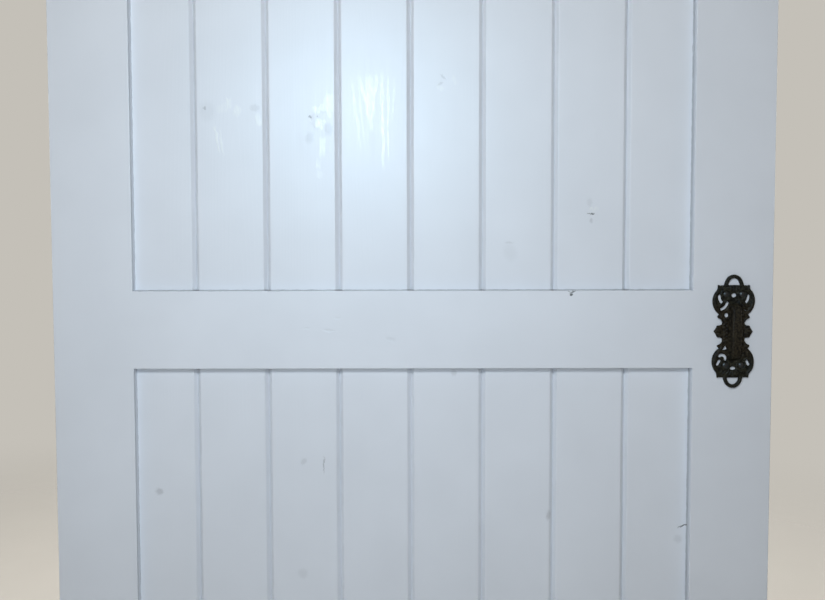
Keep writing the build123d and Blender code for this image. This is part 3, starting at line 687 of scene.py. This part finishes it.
# Pull handle: ornament in millimetres from the handle's centre. Each rib is a run of
# (across, up, half width) that a bead of metal follows, and is mirrored to the other side.
RIBS = (
    ((22.6, 67.4, 0.9), (21.9, 62.6, 1.7), (26.6, 55.4, 2.2), (28.2, 46.4, 2.5), (26.3, 37.6, 2.3),
     (21.4, 30.6, 2.0), (17.6, 25.6, 1.5), (17.4, 20.4, 1.0)),
    ((25.2, 38.6, 1.3), (19.8, 38.4, 1.7), (14.6, 43.2, 1.7), (8.4, 46.2, 1.5), (3.4, 46.4, 1.0)),
    ((19.6, 29.2, 1.2), (14.0, 29.4, 1.6), (8.0, 33.6, 1.7), (6.2, 40.2, 1.3), (6.6, 44.4, 0.8)),
    ((14.6, 19.2, 0.9), (11.2, 17.6, 1.3), (10.6, 12.4, 1.0)),
    ((23.8, 20.8, 0.7), (18.8, 18.9, 1.3), (15.6, 14.2, 1.0)),
    ((22.6, -67.4, 0.9), (21.9, -62.6, 1.7), (26.6, -55.4, 2.2), (28.2, -46.4, 2.5), (26.3, -37.6, 2.3),
     (21.4, -30.6, 2.0), (17.9, -25.6, 1.5), (17.6, -20.4, 1.0)),
    ((26.0, -40.2, 1.3), (20.6, -40.0, 1.6), (16.4, -43.6, 1.5), (17.6, -48.2, 1.2), (19.6, -52.6, 1.0)),
    ((20.2, -30.8, 1.2), (13.8, -30.8, 1.6), (8.2, -34.0, 1.7), (6.4, -40.2, 1.5), (5.4, -45.6, 1.0)),
    ((8.0, -22.4, 0.9), (12.2, -17.0, 1.3), (10.8, -12.4, 1.0)),
    ((23.8, -20.8, 0.7), (18.8, -18.9, 1.3), (15.6, -14.2, 1.0)),
)
# Petals: across and up at the root and at the tip, and the widest half width
PETALS = (
    (17.0, 0.0, 27.6, 0.0, 2.0),
    (16.4, 2.6, 25.4, 4.6, 1.6),
    (16.0, 5.4, 22.8, 8.4, 1.4),
    (16.4, -2.6, 25.4, -4.6, 1.6),
    (16.0, -5.4, 22.8, -8.4, 1.4),
    (2.2, 58.4, 5.2, 66.4, 1.6),
    (4.6, 59.6, 10.6, 65.6, 1.5),
    (7.6, 61.2, 15.6, 64.6, 1.4),
    (11.0, 62.6, 19.8, 62.8, 1.2),
    (2.2, -58.4, 5.2, -66.4, 1.6),
    (5.0, -57.6, 10.6, -65.2, 1.5),
    (8.4, -57.6, 15.6, -63.8, 1.4),
    (11.4, -57.2, 19.4, -61.4, 1.2),
)
MIDDLE_PETALS = ((0.0, 58.0, 0.0, 67.6, 1.8), (0.0, -58.4, 0.0, -67.6, 1.8))
PETAL_FORM = ((0.0, 0.45), (0.25, 0.7), (0.5, 0.95), (0.75, 1.0), (0.92, 0.75), (1.0, 0.35))
# Leaves that close four openings on the grip's right-hand side: runs as for the ribs
LEAVES = (
    ((7.0, 44.6, 2.2), (10.6, 41.2, 3.2), (14.0, 37.6, 3.4), (17.0, 34.6, 2.6), (18.6, 32.6, 1.4)),
    ((9.6, 20.4, 1.8), (11.6, 22.6, 3.2), (14.0, 24.4, 3.4), (16.6, 26.6, 1.8)),
    ((9.6, -20.6, 1.8), (11.8, -23.4, 3.4), (14.2, -26.2, 3.6), (16.4, -28.8, 2.2)),
    ((9.4, -46.4, 1.6), (10.2, -41.6, 2.8), (12.8, -37.0, 3.2), (16.6, -35.4, 3.2), (20.6, -36.4, 2.6),
     (22.6, -38.4, 1.4)),
)
# Scrolls round the screws: across, up, and 1 or -1 for the way they open
SCROLLS = ((11.8, 55.0, 1), (11.8, -50.0, -1))
# Each scroll's first angle and its turn in degrees, and its first reach and half width with their
# gains along it
SCROLL_START, SCROLL_TURN = 215, 300
SCROLL_REACH, SCROLL_REACH_GAIN = 5.6, 1.6
SCROLL_WIDTH, SCROLL_WIDTH_GAIN = 0.9, 0.7
# Loops at the two ends: half width, height of the centre, half height and half width of the bead,
# and the angles in degrees at which each one starts and ends
LOOP = (11.7, 66.0, 15.4, 2.5)
LOOP_START, LOOP_END, LOOP_STEPS = 4, 176, 24
# Rows of beads down the waist: across, how many, and their radius
BEADS = ((13.0, 7, 2.0), (9.2, 6, 1.7))
BEAD_PITCH = 5.2


def smooth_route(points, steps=6):
    """More points on a smooth line through the given ones."""
    ends = [points[0], *points, points[-1]]
    route = []
    for before, start, end, after in zip(ends, ends[1:], ends[2:], ends[3:]):
        for step in range(steps):
            t = step / steps
            point = []
            for a, b, c, d in zip(before, start, end, after):
                bend, twist = 2 * a - 5 * b + 4 * c - d, 3 * b - a - 3 * c + d
                point.append(0.5 * (2 * b + (c - a) * t + bend * t**2 + twist * t**3))
            route.append(tuple(point))
    return [*route, tuple(points[-1])]


def petal_route(root_x, root_z, tip_x, tip_z, width):
    """A petal, thin at its root and full near its tip."""
    long_x, long_z = tip_x - root_x, tip_z - root_z
    route = [(root_x + long_x * t, root_z + long_z * t, width * full) for t, full in PETAL_FORM]
    return smooth_route(route, 3)


def scroll_route(x, z, way, steps=20):
    """A scroll that winds out round a screw."""
    route = []
    for step in range(steps + 1):
        t = step / steps
        angle = radians(SCROLL_START - SCROLL_TURN * t)
        reach = SCROLL_REACH + SCROLL_REACH_GAIN * t
        width = SCROLL_WIDTH + SCROLL_WIDTH_GAIN * t
        route.append((x + reach * cos(angle), z + way * reach * sin(angle), width))
    return route


def bead_of_metal(bm, route, lift):
    """Sweep a round section along a route on the plate's face, closed at both ends."""
    stations = []
    for i, (x, z, width) in enumerate(route):
        back, ahead = route[max(i - 1, 0)], route[min(i + 1, len(route) - 1)]
        onward = Vector((ahead[0] - back[0], 0, ahead[1] - back[1])).normalized()
        outward = Vector((0, -1, 0))
        turn = Matrix((onward.cross(outward), outward, onward)).transposed().to_4x4()
        place = Matrix.Translation(HANDLE_CENTRE + Vector((x, 0, z)) * MM)
        stations.append(place @ turn @ Matrix.Diagonal((width * MM, width * lift * MM, MM, 1)))
    ring = bmesh.ops.create_circle(bm, segments=10, radius=1, matrix=stations[0], cap_ends=True)["verts"]
    edges = list({edge for vert in ring for edge in vert.link_edges})
    for before, after in zip(stations, stations[1:]):
        made = bmesh.ops.extrude_edge_only(bm, edges=edges)["geom"]
        ring = [item for item in made if isinstance(item, bmesh.types.BMVert)]
        made = [item for item in made if isinstance(item, bmesh.types.BMEdge)]
        edges = [edge for edge in made if all(vert in ring for vert in edge.verts)]
        bmesh.ops.transform(bm, matrix=after @ before.inverted(), verts=ring)
    bmesh.ops.contextual_create(bm, geom=edges)


def cast_iron(name):
    """Sand-cast iron, blackened and waxed: near black with a green cast, pitted, with a low gleam
    on what stands proud, and rubbed to brown where hands hold the grip."""
    settings = bpy.context.scene.door_handle
    material, tree, coordinates, place = new_material(name)
    sand = put(tree, "TexNoise", Vector=coordinates, Scale=1 / (2.6 * MM), Detail=5.0, Roughness=0.65)
    patches = put(tree, "TexNoise", Vector=coordinates, Scale=1 / (3.4 * MM), Detail=3.0, Roughness=0.6)
    upward = put(tree, "Math", place["Z"], HANDLE_CENTRE.z, operation="SUBTRACT")
    upward = put(tree, "Math", upward, operation="ABSOLUTE")
    grip, plate = 28 * MM, 46 * MM
    middle = put(tree, "MapRange", upward, From_Min=grip, From_Max=plate, To_Min=1.0, To_Max=0.0, **SMOOTH)
    handled = put(tree, "MapRange", patches, From_Min=0.35, From_Max=0.6, To_Min=0.5, To_Max=1.0)
    rubbed = put(tree, "Math", middle, handled, operation="MULTIPLY")
    tint = put(tree, "Mix", Factor=rubbed, A=settings.iron[:], B=settings.worn[:], data_type="RGBA")
    blotch = put(tree, "MapRange", patches, From_Min=0.38, From_Max=0.6, To_Min=1.75, To_Max=0.25)
    tint = put(tree, "VectorMath", Vector=tint, Scale=blotch, operation="SCALE")
    rough = put(tree, "MapRange", sand, To_Min=0.4, To_Max=0.6)
    surface(tree, tint, rough, sand, 0.7 * MM, Specular_IOR_Level=0.12)
    return material


class DOOR_OT_cast_handle(bpy.types.Operator):
    """Cast the scroll-work pull handle: plate, grip and ornament in one piece of iron"""

    bl_idname = "barn_door.cast_handle"
    bl_label = "Cast the pull handle"

    def execute(self, context):
        settings = context.scene.door_handle
        bm = bmesh.new()
        bm.from_mesh(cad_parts["pull_handle"].data)
        bmesh.ops.remove_doubles(bm, verts=bm.verts, dist=WELD)
        routes = [smooth_route(route) for route in RIBS]
        routes += [petal_route(*petal) for petal in PETALS]
        routes += [scroll_route(*scroll) for scroll in SCROLLS]
        routes += [[(-x, z, width) for x, z, width in route] for route in routes]
        routes += [petal_route(*petal) for petal in MIDDLE_PETALS]
        routes += [smooth_route(leaf) for leaf in LEAVES]
        half_width, centre, half_height, width = LOOP
        swing = LOOP_END - LOOP_START
        angles = [radians(LOOP_START + swing * step / LOOP_STEPS) for step in range(LOOP_STEPS + 1)]
        for way in (1, -1):
            route = [(half_width * cos(a), way * (centre + half_height * sin(a)), width) for a in angles]
            routes.append(route)
        for route in routes:
            bead_of_metal(bm, route, settings.lift)
        for across, count, radius in BEADS:
            for row in range(count):
                for side in (-across, across):
                    place = HANDLE_CENTRE + Vector((side, 0, (row - (count - 1) / 2) * BEAD_PITCH)) * MM
                    size = Matrix.Diagonal((radius * MM, 0.75 * radius * MM, radius * MM, 1))
                    matrix = Matrix.Translation(place) @ size
                    bmesh.ops.create_icosphere(bm, subdivisions=2, radius=1, matrix=matrix)
        mesh = mesh_of(bm, "handle_casting")
        mesh = applied(mesh, "REMESH", mode="VOXEL", voxel_size=settings.voxel)
        mesh = applied(mesh, "SMOOTH", factor=0.5, iterations=3)
        mesh.shade_smooth()
        make_piece(mesh, "door", cast_iron("waxed_cast_iron"), "handle_iron", "pull_handle")
        return {"FINISHED"}


def blackened_screw(name):
    """Turned steel screws, blackened: smooth dark heads with a small gleam."""
    material, tree, coordinates, _ = new_material(name)
    specks = put(tree, "TexNoise", Vector=coordinates, Scale=1 / (1.2 * MM), Detail=3.0)
    tint = put(tree, "Mix", Factor=specks, A=colour("#17181A"), B=colour("#2E2D2A"), data_type="RGBA")
    rough = put(tree, "MapRange", specks, To_Min=0.3, To_Max=0.5)
    surface(tree, tint, rough, specks, 0.02 * MM)
    return material


class DOOR_OT_handle_screws(bpy.types.Operator):
    """Turn the four round-head screws of the handle and cut their slots"""

    bl_idname = "barn_door.handle_screws"
    bl_label = "Turn the handle's screws"

    def execute(self, context):
        low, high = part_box("handle_screws")
        head, shank, point = 4.1 * MM, 2.0 * MM, 4 * MM
        slot_size = Matrix.Diagonal((9.5 * MM, 1.7 * MM, 1.0 * MM, 1))
        slot_turns = (20, 75, -35, 50)
        crown = HANDLE_FACE - low.y
        sphere = (head**2 + crown**2) / (2 * crown)
        reach = asin(head / sphere)
        angles = [reach * step / 8 for step in range(9)]
        dome = [(sphere * sin(angle), low.y + sphere * (1 - cos(angle))) for angle in angles]
        profile = [*dome, (shank, HANDLE_FACE), (shank, high.y - point), (0, high.y)]
        places = [(x, z) for z in (high.z - head, low.z + head) for x in (low.x + head, high.x - head)]
        bm = bmesh.new()
        cutter = bmesh.new()
        for (x, z), turn in zip(places, slot_turns):
            verts = [bm.verts.new((x + radius, y, z)) for radius, y in profile]
            edges = [bm.edges.new(pair) for pair in zip(verts, verts[1:])]
            spun = verts + edges
            bmesh.ops.spin(bm, geom=spun, cent=(x, 0, z), axis=(0, 1, 0), angle=tau, steps=28, use_merge=True)
            slot = Matrix.Translation((x, low.y, z)) @ Matrix.Rotation(radians(turn), 4, "Y")
            bmesh.ops.create_cube(cutter, size=1, matrix=slot @ slot_size)
        bmesh.ops.remove_doubles(bm, verts=bm.verts, dist=WELD)
        bmesh.ops.recalc_face_normals(bm, faces=bm.faces)
        tool = bpy.data.objects.new("slot_cutter", mesh_of(cutter, "slot_cutter"))
        context.scene.collection.objects.link(tool)
        mesh = mesh_of(bm, "handle_screw_heads")
        mesh = applied(mesh, "BOOLEAN", operation="DIFFERENCE", solver="EXACT", object=tool)
        bpy.data.objects.remove(tool)
        mesh.shade_smooth()
        mesh.set_sharp_from_angle(angle=radians(35))
        make_piece(mesh, "door", blackened_screw("blackened_screws"), "handle_screw_iron", "handle_screws")
        return {"FINISHED"}


# Hangers, wheels and track

# The bearing's seal between its rings, the flat floor of the wheel's groove, and the patches that
# the wheels rub bright on the track, with how much the length along the track counts in them
SEAL_INNER, SEAL_OUTER = 8.5 * MM, 11.5 * MM
GROOVE_HALF_WIDTH, GROOVE_FLOOR = 4.4 * MM, 30.5 * MM
RUBBED_PATCH, RUBBED_STRETCH = 8.333 * MM, 0.12


def powder_coat(name, wear=None):
    """Black polyester powder coat on steel: matt black with a fine orange peel. Where wear gives a
    mask, the coat is polished through to bright steel."""
    settings = bpy.context.scene.door_hardware
    material, tree, coordinates, place = new_material(name)
    peel = put(tree, "TexNoise", Vector=coordinates, Scale=1 / (1.4 * MM), Detail=2.0)
    dust = put(tree, "TexNoise", Vector=coordinates, Scale=1 / (40 * MM), Detail=4.0)
    cloud = put(tree, "MapRange", dust, From_Min=0.35, From_Max=0.7, To_Min=0.0, To_Max=0.35)
    dusty = scaled(settings.coat, 1.9)
    tint = put(tree, "Mix", Factor=cloud, A=settings.coat[:], B=dusty, data_type="RGBA")
    rough = put(tree, "MapRange", peel, To_Min=0.46, To_Max=0.6)
    fixed = {}
    if wear:
        mask = wear(tree, coordinates, place)
        tint = put(tree, "Mix", Factor=mask, A=tint, B=settings.bare_steel[:], data_type="RGBA")
        rough = put(tree, "Mix", Factor=mask, A=rough, B=0.26)
        fixed["Metallic"] = mask
    surface(tree, tint, rough, peel, 0.02 * MM, **fixed)
    return material


def from_axle(tree, place):
    """Distance from the nearer wheel's axle, square to it."""
    centred = put(tree, "Math", place["X"], LEAF_MIDDLE.x, operation="SUBTRACT")
    folded = put(tree, "Math", centred, operation="ABSOLUTE")
    folded = put(tree, "Math", folded, WHEEL_REACH, operation="SUBTRACT")
    upward = put(tree, "Math", place["Z"], AXLE_HEIGHT, operation="SUBTRACT")
    return put(tree, "VectorMath", put(tree, "CombineXYZ", folded, upward), operation="LENGTH")


def groove_wear(tree, coordinates, place):
    """Where the wheel runs on the track: the floor of its groove."""
    sideways = put(tree, "Math", place["Y"], WHEEL_MIDDLE, operation="SUBTRACT")
    sideways = put(tree, "Math", sideways, operation="ABSOLUTE")
    inner, outer = GROOVE_HALF_WIDTH - 0.2 * MM, GROOVE_HALF_WIDTH + 0.2 * MM
    inside = put(tree, "MapRange", sideways, From_Min=inner, From_Max=outer, To_Min=1.0, To_Max=0.0)
    radius = from_axle(tree, place)
    rim = GROOVE_FLOOR + 1.5 * MM
    deep = put(tree, "MapRange", radius, From_Min=GROOVE_FLOOR, From_Max=rim, To_Min=1.0, To_Max=0.0)
    return put(tree, "Math", inside, deep, operation="MULTIPLY")


def track_wear(tree, coordinates, place):
    """The top edge of the track, rubbed bright in patches by the wheels."""
    stretched = put(tree, "VectorMath", coordinates, (RUBBED_STRETCH, 1.0, 1.0), operation="MULTIPLY")
    patches = put(tree, "TexNoise", Vector=stretched, Scale=1 / RUBBED_PATCH, Detail=4.0)
    rubbed = put(tree, "MapRange", patches, From_Min=0.36, From_Max=0.6, To_Min=0.15, To_Max=0.9)
    top = put(tree, "MapRange", place["Z"], From_Min=TRACK_TOP - 0.5 * MM, From_Max=TRACK_TOP - 0.1 * MM)
    return put(tree, "Math", rubbed, top, operation="MULTIPLY")


def bearing_finish(name):
    """A sealed ball bearing: ground chrome steel rings with a black rubber seal between them."""
    material, tree, coordinates, place = new_material(name)
    radius = from_axle(tree, place)
    soft = 0.1 * MM
    inner = put(tree, "MapRange", radius, From_Min=SEAL_INNER - soft, From_Max=SEAL_INNER + soft)
    low, high = SEAL_OUTER - soft, SEAL_OUTER + soft
    outer = put(tree, "MapRange", radius, From_Min=low, From_Max=high, To_Min=1.0, To_Max=0.0)
    seal = put(tree, "Math", inner, outer, operation="MULTIPLY")
    steel = put(tree, "Math", 1.0, seal, operation="SUBTRACT")
    streaks = put(tree, "TexNoise", Vector=coordinates, Scale=1 / (0.8 * MM), Detail=2.0)
    tint = put(tree, "Mix", Factor=seal, A=colour("#C3C4C6"), B=colour("#151515"), data_type="RGBA")
    rough = put(tree, "MapRange", streaks, To_Min=0.22, To_Max=0.34)
    rough = put(tree, "Math", seal, 0.3, rough, operation="MULTIPLY_ADD")
    surface(tree, tint, rough, Metallic=steel)
    return material


def black_oxide(name):
    """Steel fasteners, hot blackened and oiled: dark grey with a low sheen and rubbed spots."""
    material, tree, coordinates, _ = new_material(name)
    rub = put(tree, "TexNoise", Vector=coordinates, Scale=1 / (5 * MM), Detail=5.0, Roughness=0.65)
    mask = put(tree, "MapRange", rub, From_Min=0.5, From_Max=0.75, To_Min=0.0, To_Max=0.8)
    tint = put(tree, "Mix", Factor=mask, A=colour("#2B2B2D"), B=colour("#4C4B4A"), data_type="RGBA")
    rough = put(tree, "MapRange", rub, To_Min=0.34, To_Max=0.52)
    surface(tree, tint, rough, rub, 0.02 * MM, Metallic=0.6)
    return material


def moulded(name, tint, spacing, low, high):
    """Moulded nylon or rubber: one colour all through, dull, with a fine even grain."""
    material, tree, coordinates, _ = new_material(name)
    grain = put(tree, "TexNoise", Vector=coordinates, Scale=1 / spacing, Detail=2.0)
    shade = put(tree, "MapRange", grain, To_Min=0.8, To_Max=1.25)
    base = put(tree, "VectorMath", Vector=tint[:3], Scale=shade, operation="SCALE")
    rough = put(tree, "MapRange", grain, To_Min=low, To_Max=high)
    surface(tree, base, rough, grain, 0.03 * MM)
    return material


class DOOR_OT_hang_leaf(bpy.types.Operator):
    """Finish the strap hangers, their bolts, the wheels, bearings, axles and jump discs"""

    bl_idname = "barn_door.hang_leaf"
    bl_label = "Finish the hangers and wheels"

    def execute(self, context):
        coat = powder_coat("hanger_powder_coat")
        wheel = powder_coat("wheel_powder_coat", groove_wear)
        bearing = bearing_finish("bearing_steel")
        oxide = black_oxide("hanger_black_oxide")
        nylon = moulded("black_nylon", colour("#1E1E1F"), 1.1 * MM, 0.38, 0.52)
        for side in ("left", "right"):
            finish_nodes(coat, f"{side}_hanger_strap")
            finish_nodes(wheel, f"{side}_wheel")
            finish_nodes(bearing, f"{side}_wheel_bearing")
            finish_nodes(nylon, f"{side}_jump_disc")
            finish_nodes(oxide, f"{side}_axle_bolt", f"{side}_axle_nut", f"{side}_axle_spacer")
        finish_nodes(oxide, "hanger_bolts", "hanger_washers", "hanger_nuts", "disc_screws")
        return {"FINISHED"}


class DOOR_OT_fit_track(bpy.types.Operator):
    """Finish the track, its spacers and screws, the end stops and the floor guide"""

    bl_idname = "barn_door.fit_track"
    bl_label = "Finish the track"

    def execute(self, context):
        spacers = [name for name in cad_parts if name.startswith("track_spacer")]
        coat = powder_coat("fitting_powder_coat")
        finish_nodes(powder_coat("track_powder_coat", track_wear), "track_rail")
        finish_nodes(coat, "left_stop", "right_stop", "floor_guide", *spacers)
        finish_nodes(black_oxide("track_black_oxide"), "lag_screws", "lag_washers", "stop_grub_screws")
        rubber = moulded("bumper_rubber", colour("#191919"), 0.9 * MM, 0.7, 0.85)
        finish_nodes(rubber, "left_bumper", "right_bumper")
        return {"FINISHED"}


class DOOR_OT_cut_threads(bpy.types.Operator):
    """Wind the coarse threads of the track's lag screws"""

    bl_idname = "barn_door.cut_threads"
    bl_label = "Cut the lag screw threads"

    def execute(self, context):
        settings = context.scene.door_hardware
        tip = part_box("lag_screws")[1].y
        low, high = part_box("lag_washers")
        washer = (high.z - low.z) / 2
        height = (high.z + low.z) / 2
        count = sum(name.startswith("track_spacer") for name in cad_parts)
        root, crest, half_base = 3.3 * MM, 4.3 * MM, 0.7 * MM
        plain, point = 2 * MM, 7 * MM
        start = WALL_FACE + plain
        turns = int((tip - point - start) / settings.thread_pitch)
        bm = bmesh.new()
        for number in range(count):
            x = low.x + washer + (high.x - low.x - 2 * washer) * number / (count - 1)
            section = ((root, start - half_base), (crest, start), (root, start + half_base))
            face = bm.faces.new([bm.verts.new((x + radius, y, height)) for radius, y in section])
            bmesh.ops.spin(
                bm,
                geom=[*face.verts, *face.edges, face],
                cent=(x, 0, height),
                axis=(0, 1, 0),
                dvec=(0, settings.thread_pitch / settings.thread_steps, 0),
                angle=tau * turns,
                steps=settings.thread_steps * turns,
            )
        bmesh.ops.recalc_face_normals(bm, faces=bm.faces)
        oxide = bpy.data.materials["track_black_oxide"]
        make_piece(mesh_of(bm, "lag_threads"), "track", oxide, "fastener_steel")
        return {"FINISHED"}


# Stage

# The floor's middle, a hair below the floor guide's base, its radius, where it starts to fade and
# is gone, and the size of its speckle
FLOOR_CENTRE = (0.5, 0, -0.2 * MM)
FLOOR_RADIUS = 7.0
FADE_START, FADE_END = 0.9, 4.4
FLOOR_SPECKLE = 166.7 * MM


def lay_floor(settings):
    """A round pale floor that fades into the air behind it."""
    bm = bmesh.new()
    place = Matrix.Translation(FLOOR_CENTRE)
    bmesh.ops.create_circle(bm, cap_ends=True, segments=96, radius=FLOOR_RADIUS, matrix=place)
    floor = bpy.data.objects.new("floor", mesh_of(bm, "floor"))
    bpy.context.scene.collection.objects.link(floor)
    material, tree, coordinates, _ = new_material("pale_floor")
    speck = put(tree, "TexNoise", Vector=coordinates, Scale=1 / FLOOR_SPECKLE, Detail=5.0)
    darker = scaled(settings.floor, 0.94)
    tint = put(tree, "Mix", Factor=speck, A=settings.floor[:], B=darker, data_type="RGBA")
    away = put(tree, "VectorMath", coordinates, operation="LENGTH")
    fade = put(tree, "MapRange", away, From_Min=FADE_START, From_Max=FADE_END, **SMOOTH)
    solid = put(tree, "BsdfPrincipled", Base_Color=tint, Roughness=0.7)
    put(tree, "OutputMaterial", put(tree, "MixShader", fade, solid, put(tree, "BsdfTransparent")))
    floor.data.materials.append(material)


def light_air(scene, settings):
    """Pale air all round, seen at its own colour, mirrored half as strongly, and lighting the door
    more weakly still."""
    world = bpy.data.worlds.new("pale_air")
    world.use_nodes = True
    tree = world.node_tree
    tree.nodes.clear()
    rays = put(tree, "LightPath").node.outputs
    mirrored = put(tree, "Math", rays["Is Glossy Ray"], 0.5, operation="MULTIPLY")
    seen = put(tree, "Math", rays["Is Camera Ray"], mirrored, operation="MAXIMUM")
    air = put(tree, "Mix", Factor=seen, A=settings.ambient[:], B=settings.backdrop[:], data_type="RGBA")
    put(tree, "OutputWorld", put(tree, "Background", Color=air))
    scene.world = world


# Lights: place and aim from the middle of the leaf's face, size, watts, colour, and whether each
# one lights the paint or only gleams in it
LIGHTS = {
    "lamp": ((-0.16, -1.228, 0.64), (-0.1, 0, 0.3), 0.1, 4.1, "#F6FCFF", True, False),
    "gleam": ((-0.16, -1.228, 0.55), (-0.1, 0, 0.3), 0.14, 22.0, "#C2E6FF", False, True),
    "soft_light": ((-0.1, -0.95, 0.08), (0, 0, 0), 0.9, 3.93, "#DAEDFF", True, False),
    "overhead_light": ((-0.1, -2.0, 1.26), (0, 0, 0), 0.2, 9.45, "#FBFCFC", True, False),
    "back_light": ((0, 2.6, 1.4), (0, 0, -0.1), 2.0, 27.0, "#FFFDF8", True, True),
    "left_edge_light": ((-3.2, 1.0, 0.6), (-0.5, 0, 0), 1.2, 26.0, "#FFFDF8", True, True),
    "right_edge_light": ((3.2, 1.0, 0.6), (0.5, 0, 0), 1.2, 26.0, "#FFFDF8", True, True),
    "floor_light": ((0, 3.0, 2.4), (0, 3.0, 0), 3.0, 80.0, "#FFFDF8", True, False),
}


def hang_light(name, offset, aim, size, watts, hexes, lights_paint, gleams):
    """A square light turned to its aim and not seen by the camera."""
    data = bpy.data.lights.new(name, "AREA")
    data.size = size
    data.energy = watts
    data.color = colour(hexes)[:3]
    light = bpy.data.objects.new(name, data)
    light.location = LEAF_MIDDLE + Vector(offset)
    light.rotation_euler = (Vector(aim) - Vector(offset)).to_track_quat("-Z", "Y").to_euler()
    light.visible_camera = False
    light.visible_diffuse = lights_paint
    light.visible_glossy = gleams
    bpy.context.scene.collection.objects.link(light)


def stand_camera(scene):
    """The photograph's camera, fitted to the door's edges and joints."""
    yaw, pitch, roll = radians(-0.158), radians(2.749), radians(-0.11)
    ahead = Vector((sin(yaw) * cos(pitch), cos(yaw) * cos(pitch), -sin(pitch)))
    right = Vector((cos(yaw), -sin(yaw), 0))
    up = right.cross(ahead)
    right, up = cos(roll) * right + sin(roll) * up, cos(roll) * up - sin(roll) * right
    data = bpy.data.cameras.new("photo_camera")
    data.sensor_width = 36.0
    data.lens = 36.0
    camera = bpy.data.objects.new("photo_camera", data)
    place = LEAF_MIDDLE + Vector((0.0034, -1.2199, 0.1028))
    camera.matrix_world = Matrix.Translation(place) @ Matrix((right, up, -ahead)).transposed().to_4x4()
    scene.collection.objects.link(camera)
    scene.camera = camera


class DOOR_OT_set_stage(bpy.types.Operator):
    """Lay the pale floor, place the lights and stand the camera where the photograph was taken"""

    bl_idname = "barn_door.set_stage"
    bl_label = "Set the stage"

    def execute(self, context):
        settings = context.scene.door_stage
        lay_floor(settings)
        light_air(context.scene, settings)
        for name, (offset, aim, size, watts, *finish) in LIGHTS.items():
            hang_light(name, offset, aim, size, watts * settings.brightness, *finish)
        stand_camera(context.scene)
        context.scene.view_settings.view_transform = "Standard"
        return {"FINISHED"}


class DOOR_PT_panel(bpy.types.Panel):
    """The door's settings and its steps, in order"""

    bl_idname = "DOOR_PT_panel"
    bl_label = "Barn Door"
    bl_space_type = "VIEW_3D"
    bl_region_type = "UI"
    bl_category = "Barn Door"

    def draw(self, context):
        for name, group in SETTINGS.items():
            box = self.layout.box()
            for setting in group.__annotations__:
                box.prop(getattr(context.scene, name), setting)
        for step in STEPS:
            self.layout.operator(step.bl_idname)


SETTINGS = {
    "door_paint": PaintSettings,
    "door_handle": HandleSettings,
    "door_hardware": HardwareSettings,
    "door_stage": StageSettings,
}
STEPS = (
    DOOR_OT_paint_leaf,
    DOOR_OT_cast_handle,
    DOOR_OT_handle_screws,
    DOOR_OT_hang_leaf,
    DOOR_OT_fit_track,
    DOOR_OT_cut_threads,
    DOOR_OT_set_stage,
)
CLASSES = (*SETTINGS.values(), *STEPS, DOOR_PT_panel)


def register():
    for group in CLASSES:
        bpy.utils.register_class(group)
    for name, group in SETTINGS.items():
        setattr(bpy.types.Scene, name, PointerProperty(type=group))


def unregister():
    for name in SETTINGS:
        delattr(bpy.types.Scene, name)
    for group in reversed(CLASSES):
        bpy.utils.unregister_class(group)


def main():
    """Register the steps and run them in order."""
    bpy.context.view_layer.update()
    register()
    bpy.ops.barn_door.paint_leaf()
    bpy.ops.barn_door.cast_handle()
    bpy.ops.barn_door.handle_screws()
    bpy.ops.barn_door.hang_leaf()
    bpy.ops.barn_door.fit_track()
    bpy.ops.barn_door.cut_threads()
    bpy.ops.barn_door.set_stage()


if __name__ == "__main__":
    main()
